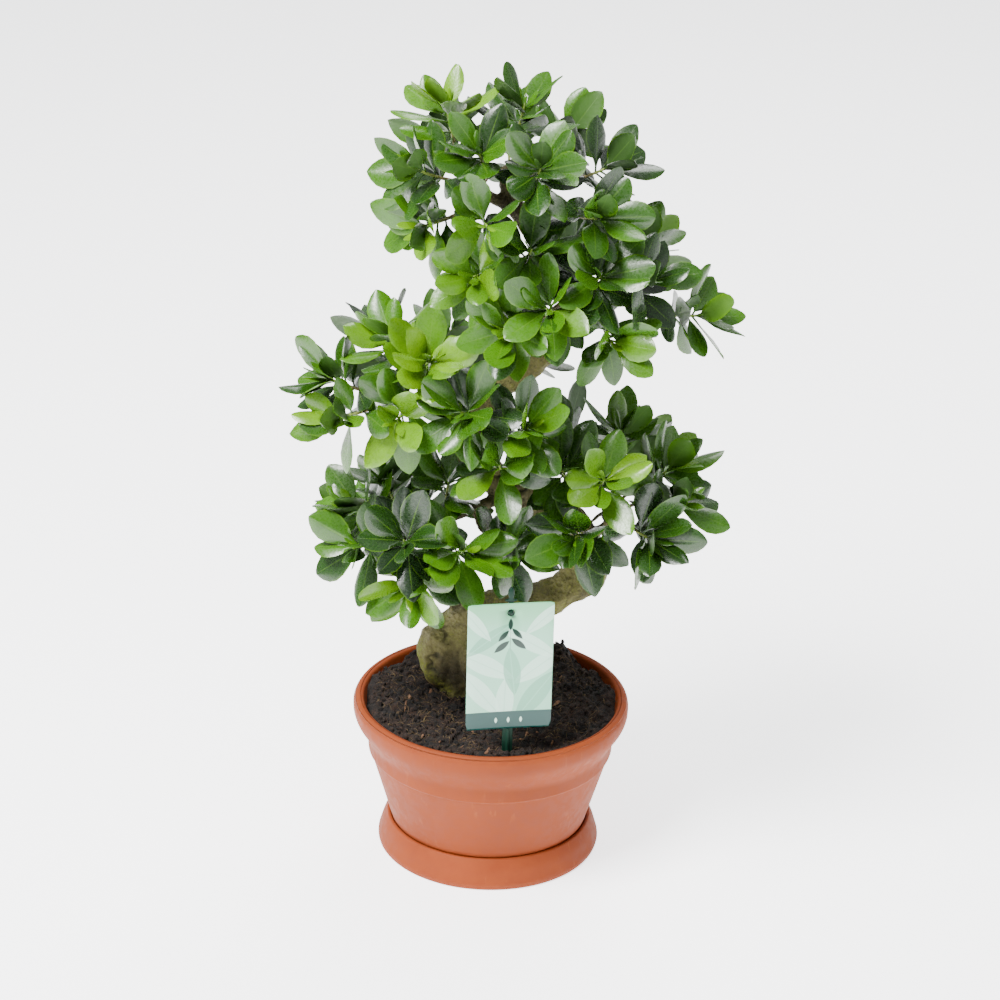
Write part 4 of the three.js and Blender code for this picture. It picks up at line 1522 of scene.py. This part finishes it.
class ShootReader:
    """Finds the stem and the leaves in a shoot's CAD mesh.

    A stem ring has five corners with short edges. A leaf is five margin corners and a keel, tied
    to each other by longer edges, and the last single point is the bud's.
    """

    short_edge = 2.3 * MM
    ring_corners = 5
    keel_share = 0.55
    widest_share = 0.42

    def read(self, node: str) -> ShootFrame:
        """Reads a shoot.

        Args:
            node: The CAD node.

        Returns:
            Its stem and leaves.
        """
        points, triangles = cad_mesh(node)
        edges = np.concatenate([triangles[:, [0, 1]], triangles[:, [1, 2]], triangles[:, [2, 0]]])
        size = np.linalg.norm(points[edges[:, 0]] - points[edges[:, 1]], axis=1)
        shortest = np.full(len(points), np.inf)
        np.minimum.at(shortest, edges[:, 0], size)
        np.minimum.at(shortest, edges[:, 1], size)
        stem = shortest < self.short_edge
        free = edges[~stem[edges].any(axis=1)]
        label = np.arange(len(points))
        for _ in range(8):
            low = np.minimum(label[free[:, 0]], label[free[:, 1]])
            np.minimum.at(label, free[:, 0], low)
            np.minimum.at(label, free[:, 1], low)
        loose = np.flatnonzero(~stem)
        names, counts = np.unique(label[loose], return_counts=True)
        apex = points[names[counts == 1][0]]
        rings = self.rings(points[stem], apex)
        halfway = (rings[1:-1] + rings[2:]) / 2
        rows = []
        for name in names[counts > 1]:
            blade = points[loose[label[loose] == name]]
            rows.append(self.leaf(blade, halfway))
        rows.sort(key=lambda row: row[0])
        order, base, along, up, length, width = (np.array(column) for column in zip(*rows))
        age = 1.0 - order / max(len(halfway) - 1, 1)
        line = np.concatenate([rings, apex[None]])
        return ShootFrame(line, base, along, up, length, width, age)

    def rings(self, corners: Array, apex: Array) -> Array:
        """Centres of the stem's rings, taking corners by falling distance from the bud.

        Args:
            corners: The rings' corners, in any order.
            apex: The bud's point.

        Returns:
            The centres, from the foot up.
        """
        far = np.linalg.norm(corners - apex, axis=1)
        ordered = corners[np.argsort(-far)]
        whole = len(ordered) // self.ring_corners * self.ring_corners
        return ordered[:whole].reshape(-1, self.ring_corners, 3).mean(axis=1)

    def spine(self, blade: Array, foot: Array) -> tuple[Array, float, Array, int, int]:
        """A leaf's middle line as it would be from a given foot.

        Args:
            blade: The leaf's corners.
            foot: Where it would grow from.

        Returns:
            Its unit vector, its length, the corners' distances along it, and the numbers of the
            tip, which is the farthest corner, and of the keel, which is the nearest to the line.
        """
        reach = np.linalg.norm(blade - foot, axis=1)
        tip = int(reach.argmax())
        along = (blade[tip] - foot) / reach[tip]
        onward = (blade - foot) @ along
        away = np.linalg.norm(blade - foot - onward[:, None] * along, axis=1)
        away[tip] = np.inf
        return along, float(reach[tip]), onward, tip, int(away.argmin())

    def leaf(self, blade: Array, halfway: Array) -> tuple[int, Array, Array, Array, float, float]:
        """Reads one leaf, from the foot that puts its keel and margin nearest to their places.

        Args:
            blade: The leaf's corners.
            halfway: Feet of all leaves of the shoot.

        Returns:
            The foot's number and place, the vectors along and up, the length and the width.
        """

        def miss(number: int) -> float:
            """How far the leaf is from its right shape when it grows from a foot.

            Args:
                number: The foot's number.

            Returns:
                0 for a leaf of the right shape.
            """
            along, length, onward, tip, keel = self.spine(blade, halfway[number])
            shift = abs(onward[keel] / length - self.keel_share)
            return shift + self.lopsided(blade, halfway[number], along, tip, keel)

        number = min(range(len(halfway)), key=miss)
        foot = halfway[number]
        along, length, onward, _, keel = self.spine(blade, foot)
        up = foot + along * onward[keel] - blade[keel]
        up /= np.linalg.norm(up)
        width = float(np.abs((blade - foot) @ np.cross(up, along)).max()) / self.widest_share
        return number, foot, along, up, length, width

    def lopsided(self, blade: Array, foot: Array, along: Array, tip: int, keel: int) -> float:
        """How far a leaf's margin is from even on both sides of a line.

        Args:
            blade: The leaf's corners.
            foot: Start of the line.
            along: Its unit vector.
            tip: Number of the tip's corner.
            keel: Number of the keel's corner.

        Returns:
            0 for an even margin, up to 1 for one that lies on one side.
        """
        rest = np.delete(blade, [tip, keel], axis=0)
        offset = rest - foot - ((rest - foot) @ along)[:, None] * along
        return float(np.linalg.norm(offset.sum(axis=0)) / np.linalg.norm(offset, axis=1).sum())


@dataclass
class Foliage:
    """All the shoots, each one piece: a stem with its bud, and its leaves.

    Attributes:
        rows: Places of a leaf's rings, as shares of its length.
        stalk: Share of the length that is stalk.
        stalk_radius: Radius of the stalk.
        blade: Thickness of the blade.
        stem_radius: Radius of the stem at its foot.
    """

    rows: tuple[float, ...] = (0.0, 0.12, 0.22, 0.36, 0.52, 0.68, 0.82, 0.925, 0.98)
    stalk: float = 0.13
    stalk_radius: float = 0.75 * MM
    blade: float = 0.45 * MM
    stem_radius: float = 1.5 * MM

    def outline(self, share: Array, full: Array) -> Array:
        """Half width of a blade as a share of its half width at the widest.

        It is q^a (1-q)^b over its own highest value, where q runs from 0 at the end of the stalk
        to 1 at the tip, b is 0.74 and a is full, from 0.7 for a broad foot to 1.1 for a wedge.

        Args:
            share: Places along the leaf, as shares of its length.
            full: The exponent a.

        Returns:
            Shares of the widest half width.
        """
        q = np.clip((share - self.stalk) / (1.0 - self.stalk), 0.0, 1.0)
        tip = 0.74
        peak = full / (full + tip)
        return q**full * (1.0 - q) ** tip / (peak**full * (1.0 - peak) ** tip)

    def filled(self, shoot: ShootFrame, rng: np.random.Generator) -> ShootFrame:
        """Adds the small inner leaves across the stem from the large ones, and a pair at the bud.

        A leaf across the stem is its partner turned half round the stem's axis, along' =
        2 (axis . along) axis - along, and shorter. The pair at the bud spreads at 20 degrees.

        Args:
            shoot: The shoot as CAD gives it.
            rng: Source of small differences.

        Returns:
            The shoot with all its leaves.
        """
        count = len(shoot.length)
        step = np.gradient(shoot.line, axis=0)
        near = np.linalg.norm(shoot.base[:, None] - shoot.line[None], axis=2).argmin(axis=1)
        axis = unit(step[near])
        across = 2.0 * np.einsum("ij,ij->i", axis, shoot.along)[:, None] * axis - shoot.along
        across += rng.normal(0.0, 0.18, (count, 3))
        tip = axis[-1] if count else step[-1] / np.linalg.norm(step[-1])
        side = np.cross(tip, [0.2, -0.6, 0.77])
        side /= np.linalg.norm(side)
        spread = math.radians(20.0)
        pair = [tip * math.cos(spread) + side * math.sin(spread) * sign for sign in (-1.0, 1.0)]
        along = unit(np.concatenate([across, pair]))
        sky = np.array([0.0, -0.35, 1.0]) + 0.4 * np.concatenate([axis, [tip, tip]])
        up = unit(sky - np.einsum("ij,ij->i", sky, along)[:, None] * along)
        scale = np.append(rng.uniform(0.7, 1.0, count), rng.uniform(0.4, 0.55, 2))
        slim = np.append(np.ones(count), [0.62, 0.62])
        source = np.append(np.arange(count), [count - 1, count - 1])
        return ShootFrame(
            shoot.line,
            np.concatenate([shoot.base, shoot.base, [shoot.line[-2]] * 2]),
            np.concatenate([shoot.along, along]),
            np.concatenate([shoot.up, up]),
            np.append(shoot.length, shoot.length[source] * scale),
            np.append(shoot.width, shoot.width[source] * scale * slim),
            np.concatenate([shoot.age, shoot.age + 0.15, [-0.5, -0.5]]),
        )

    def leaves(self, shoot: ShootFrame, rng: np.random.Generator, youth_and_front_light: float) -> Surface:
        """All the leaves of a shoot.

        A section has eight points: right margin, three on top, left margin, three below. The
        halves rise from the midrib by fold |y| and curl down to the margin by curl y^2 / half,
        the blade arches along its length by droop t^2, and its margin waves.

        Args:
            shoot: The shoot.
            rng: Source of small differences.
            youth_and_front_light: 0 for an old dark shoot, 1 for a young bright one; front shoots score
                higher as painted light.

        Returns:
            The leaves' surface, with marks for age with painted front light added, and for the lower
            face.
        """
        count, rings = len(shoot.length), len(self.rows)
        across = np.array([1.0, 0.52, 0.0, -0.52, -1.0, -0.52, 0.0, 0.52])
        side = np.array([0.0, 1.0, 1.0, 1.0, 0.0, -1.0, -1.0, -1.0])
        share = np.array(self.rows)[None, :, None]

        def vary(low: float, high: float) -> Array:
            """One random number for each leaf, ready to spread over its grid."""
            return rng.uniform(low, high, (count, 1, 1))

        long = shoot.length[:, None, None]
        wide = shoot.width[:, None, None] * vary(0.37, 0.46)
        half = np.maximum(wide * self.outline(share, vary(0.7, 1.1)), self.stalk_radius)
        half = np.where(share < self.stalk, self.stalk_radius, half)
        flatness = smooth_step(share, self.stalk - 0.02, self.stalk + 0.12)
        thick = (1 - flatness) * self.stalk_radius + flatness * self.blade * 0.5
        y = across * half
        lift = vary(0.1, 0.34) * np.abs(y) - vary(0.15, 0.62) * np.abs(y * across)
        droop = vary(0.02, 0.22) * (0.4 + 0.6 * shoot.age[:, None, None])
        arch = -droop * long * (share**2 - 0.35 * share) * flatness
        wave = 0.02 * long * np.sin(6.5 * share + vary(0.0, 6.28)) * across * np.abs(across)
        groove = np.where(across == 0.0, -0.18 * MM - 0.25 * MM * (side < 0), 0.0) * flatness
        z = side * thick * (1.0 - 0.3 * np.abs(across)) + flatness * (lift + wave) + arch + groove
        x = share * long * (1.0 - 0.25 * droop**2) + 0 * y
        aside = np.cross(shoot.up, shoot.along)
        twist = vary(-0.5, 0.5)[:, 0]
        upper = shoot.up * np.cos(twist) + aside * np.sin(twist)
        aside = np.cross(upper, shoot.along)
        bend = vary(-0.06, 0.06) * long * share**2
        points = shoot.base[:, None, None] + x[..., None] * shoot.along[:, None, None]
        points = points + (y + bend)[..., None] * aside[:, None, None]
        points = points + z[..., None] * upper[:, None, None]
        tip_down = (-droop * long * 0.65)[:, 0]
        tips = shoot.base + shoot.along * shoot.length[:, None]
        tips = tips + upper * tip_down + aside * (bend[:, -1] / 0.96)
        block = rings * 8
        body = grid_faces(rings, 8, True)
        foot = np.array([[0, corner + 1, corner] for corner in range(6, 0, -1)])
        cap = fan_faces(np.arange(8) + block - 8, block)
        faces = repeated([body, foot, cap], block + 1, count)
        whole = np.concatenate([points.reshape(count, block, 3), tips[:, None]], axis=1)
        fresh = youth_and_front_light + 0.36 * (0.5 - shoot.age) + rng.normal(0.0, 0.1, count)
        marks = {
            "youth_and_front_light": np.repeat(np.clip(fresh, 0.0, 1.0), block + 1),
            "under": np.tile(np.append(np.tile((side < 0) * 1.0, rings), 0.5), count),
        }
        u = np.append(np.repeat(np.array(self.rows), 8), 1.0)
        v = np.append(np.tile((across + 1.0) / 2.0, rings), 0.5)
        sheet = np.tile(np.stack([u, v], axis=-1), (count, 1))
        margin = np.tile(np.append(np.tile(side == 0.0, rings), True), count)
        late = np.tile(np.append(np.repeat(np.array(self.rows) > self.stalk, 8), True), count)
        return Surface(whole.reshape(-1, 3), faces, marks, sheet, margin & late)

    def stem(self, shoot: ShootFrame, youth_and_front_light: float) -> Surface:
        """The stem: a six-sided tube on its centre line, thinner upwards, ending in a long bud.

        Args:
            shoot: The shoot.
            youth_and_front_light: 0 for an old shoot, 1 for a young one; higher at the front as painted
                light.

        Returns:
            The stem's closed surface, with the marks that the leaves have.
        """
        line = shoot.line
        bud = line[-2] + (line[-1] - line[-2]) * np.array([[0.35], [0.7]])
        path = np.concatenate([line[:-1], bud])
        step = unit(np.gradient(path, axis=0))
        side = unit(np.cross(step, [0.31, 0.17, 0.93]))
        other = np.cross(step, side)
        share = np.linspace(0.0, 1.0, len(path))[:, None]
        radius = self.stem_radius * (1.0 - 0.42 * share)
        radius[-2:] *= [[1.1], [0.7]]
        sides = 6
        angle = around(sides)
        ring = side[:, None] * np.cos(angle)[:, None] + other[:, None] * np.sin(angle)[:, None]
        points = (path[:, None] + ring * radius[:, None]).reshape(-1, 3)
        count = len(points)
        ends = np.stack([line[0], line[-1]])
        faces = tube_faces(len(path), sides)
        tone = np.clip(0.3 * youth_and_front_light + 0.9 * share[:, 0], 0.0, 1.0)
        young = np.append(np.repeat(tone, sides), [tone[0], 1.0])
        marks = {"youth_and_front_light": young, "under": np.zeros(count + 2)}
        sheet, sharp = np.zeros((count + 2, 2)), np.zeros(count + 2, bool)
        return Surface(np.concatenate([points, ends]), faces, marks, sheet, sharp)

    def build(self, leaf: Material, stem: Material) -> None:
        """Makes every shoot. Outer shoots are younger and front shoots are painted brighter as painted
        light, each by its own amount.

        Args:
            leaf: The leaves' material.
            stem: The stems' material.
        """
        reader = ShootReader()
        nodes = sorted(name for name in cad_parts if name.startswith("shoot_"))
        for number, node in enumerate(nodes):
            rng = np.random.default_rng(500 + number)
            shoot = self.filled(reader.read(node), rng)
            start = shoot.line[0]
            outward = float(np.hypot(start[0], start[1]) / 0.12)
            # Painted light: shoots towards the front, at negative y, are painted brighter; outer shoots
            # are younger.
            youth_and_front_light = float(np.clip(rng.normal(0.36 - 1.3 * start[1] + 0.14 * outward, 0.16), 0.02, 0.9))
            blades = self.leaves(shoot, rng, youth_and_front_light)
            stalk = self.stem(shoot, youth_and_front_light)
            stalk.faces = [group + len(blades.points) for group in stalk.faces]
            whole = Surface(
                np.concatenate([blades.points, stalk.points]),
                blades.faces + stalk.faces,
                {key: np.append(blades.marks[key], stalk.marks[key]) for key in blades.marks},
                np.concatenate([blades.sheet, stalk.sheet]),
                np.append(blades.sharp, stalk.sharp),
                [False] * len(blades.faces) + [True] * len(stalk.faces),
            )
            place(whole.piece("leafy_" + node, [leaf, stem]), Slot.LEAF, node)


# ---- Stage --------------------------------------------------------------------------------


@dataclass
class Studio:
    """The floor, the lights and the camera.

    Attributes:
        aim: What the camera looks at.
        distance: Camera to aim.
        elevation: Camera's height over the horizon, in degrees.
        roll: Camera's roll, in degrees.
        lens: Focal length in millimetres on a 36 mm sensor.
        reach: From the middle of the floor to its edges.
    """

    aim: Place = (0.003, 0.0, 0.297)
    distance: float = 2.0
    elevation: float = 23.3
    roll: float = 1.5
    lens: float = 93.0
    reach: float = 40.0

    def camera(self) -> None:
        """Stands the camera: its axes are right, up and back, rolled about back."""
        tilt, roll = math.radians(self.elevation), math.radians(self.roll)
        back = Vector((0.0, -math.cos(tilt), math.sin(tilt)))
        level = Vector((1.0, 0.0, 0.0))
        high = Vector((0.0, math.sin(tilt), math.cos(tilt)))
        right = level * math.cos(roll) + high * math.sin(roll)
        up = high * math.cos(roll) - level * math.sin(roll)
        data = bpy.data.cameras.new("camera")
        data.lens = self.lens
        data.sensor_width = 36.0
        camera = bpy.data.objects.new("camera", data)
        turn = Matrix((right, up, back)).transposed().to_4x4()
        camera.matrix_world = Matrix.Translation(Vector(self.aim) + back * self.distance) @ turn
        bpy.context.scene.collection.objects.link(camera)
        bpy.context.scene.camera = camera

    def light(self, name: str, at: Place, size: float, power: float) -> None:
        """Hangs a square soft light that faces the tree.

        Args:
            name: The light's name.
            at: Where it hangs.
            size: Length of its sides.
            power: Watts.
        """
        data = bpy.data.lights.new(name, "AREA")
        data.size = size
        data.energy = power
        lamp = bpy.data.objects.new(name, data)
        away = Vector(at) - Vector((0.0, 0.0, 0.3))
        facing = away.to_track_quat("Z", "Y").to_matrix().to_4x4()
        lamp.matrix_world = Matrix.Translation(Vector(at)) @ facing
        bpy.context.scene.collection.objects.link(lamp)

    def build(self, paint: Material) -> None:
        """Lays the floor, lights it and stands the camera.

        Args:
            paint: The floor's material.
        """
        share = np.linspace(-1.0, 1.0, 9)
        x, y = np.meshgrid(share * self.reach, share * self.reach, indexing="ij")
        points = np.stack([x, y, 0 * x - 0.0002], axis=-1).reshape(-1, 3)
        mesh = bpy.data.meshes.new("floor")
        mesh.from_pydata(points.tolist(), [], grid_faces(9, 9, False).tolist())
        mesh.materials.append(paint)
        floor = bpy.data.objects.new("floor", mesh)
        bpy.context.scene.collection.objects.link(floor)
        world = bpy.data.worlds.new("studio")
        world.use_nodes = True
        sky = world.node_tree.nodes["Background"]
        sky.inputs["Color"].default_value = (0.96, 0.98, 1.0, 1.0)
        sky.inputs["Strength"].default_value = 0.55
        bpy.context.scene.world = world
        self.light("key", (-1.1, -1.0, 2.3), 1.1, 210.0)
        self.light("fill", (1.8, -1.4, 1.3), 1.6, 8.0)
        self.light("back", (0.5, 1.6, 2.4), 1.4, 60.0)
        self.camera()


def main() -> None:
    """Builds the object piece by piece."""
    logging.basicConfig(level=logging.INFO, format="%(name)s: %(message)s")
    shop = Workshop()
    terracotta = MouldedPlastic(rgb(127, 55, 21), rgb(151, 81, 45), rgb(103, 41, 13), 0.64)
    plastic = terracotta.make(shop, "terracotta plastic")
    Saucer().build(plastic)
    Pot().build(plastic)
    peat = Earth(rgb(11, 6, 4), rgb(70, 46, 30), 2.0 * MM).make(shop, "peat")
    dry = Earth(rgb(66, 50, 30), rgb(126, 106, 70), 0.3 * MM).make(shop, "dry fibre")
    straw = Earth(rgb(92, 62, 42), rgb(154, 118, 84), 0.6 * MM).make(shop, "bark chip")
    Soil().build(peat, dry, straw)
    print_ = PrintedCard(
        top=rgb(108, 174, 128),
        mint=rgb(138, 192, 162),
        light=rgb(184, 218, 198),
        shade=rgb(98, 158, 128),
        teal=rgb(0, 56, 50),
        ink=rgb(12, 40, 30),
    ).make(shop, "printed card")
    stake = MouldedPlastic(rgb(8, 40, 28), rgb(22, 60, 46), rgb(4, 22, 15), 0.45)
    Label().build(print_, stake.make(shop, "stake plastic"))
    bark = Bark(
        grey=rgb(110, 102, 60),
        brown=rgb(58, 50, 22),
        moss=rgb(116, 122, 20),
        # The crease colour gives dark grain and the painted shade in the creases.
        crease=rgb(20, 14, 6),
        tender=rgb(184, 124, 98),
    ).make(shop, "fig bark")
    Wood().build(bark)
    leaf = Leaf(
        old=rgb(14, 34, 9),
        grown=rgb(28, 62, 4),
        fresh=rgb(58, 104, 2),
        young=rgb(98, 142, 0),
        rib=rgb(88, 126, 32),
        below=rgb(58, 90, 32),
    ).make(shop, "fig leaf")
    stem = GreenStem(rgb(128, 160, 62), rgb(104, 84, 52)).make(shop, "green stem")
    Foliage().build(leaf, stem)
    Studio().build(PaintedFloor(rgb(250, 250, 251)).make(shop, "floor paint"))


if __name__ == "__main__":
    main()
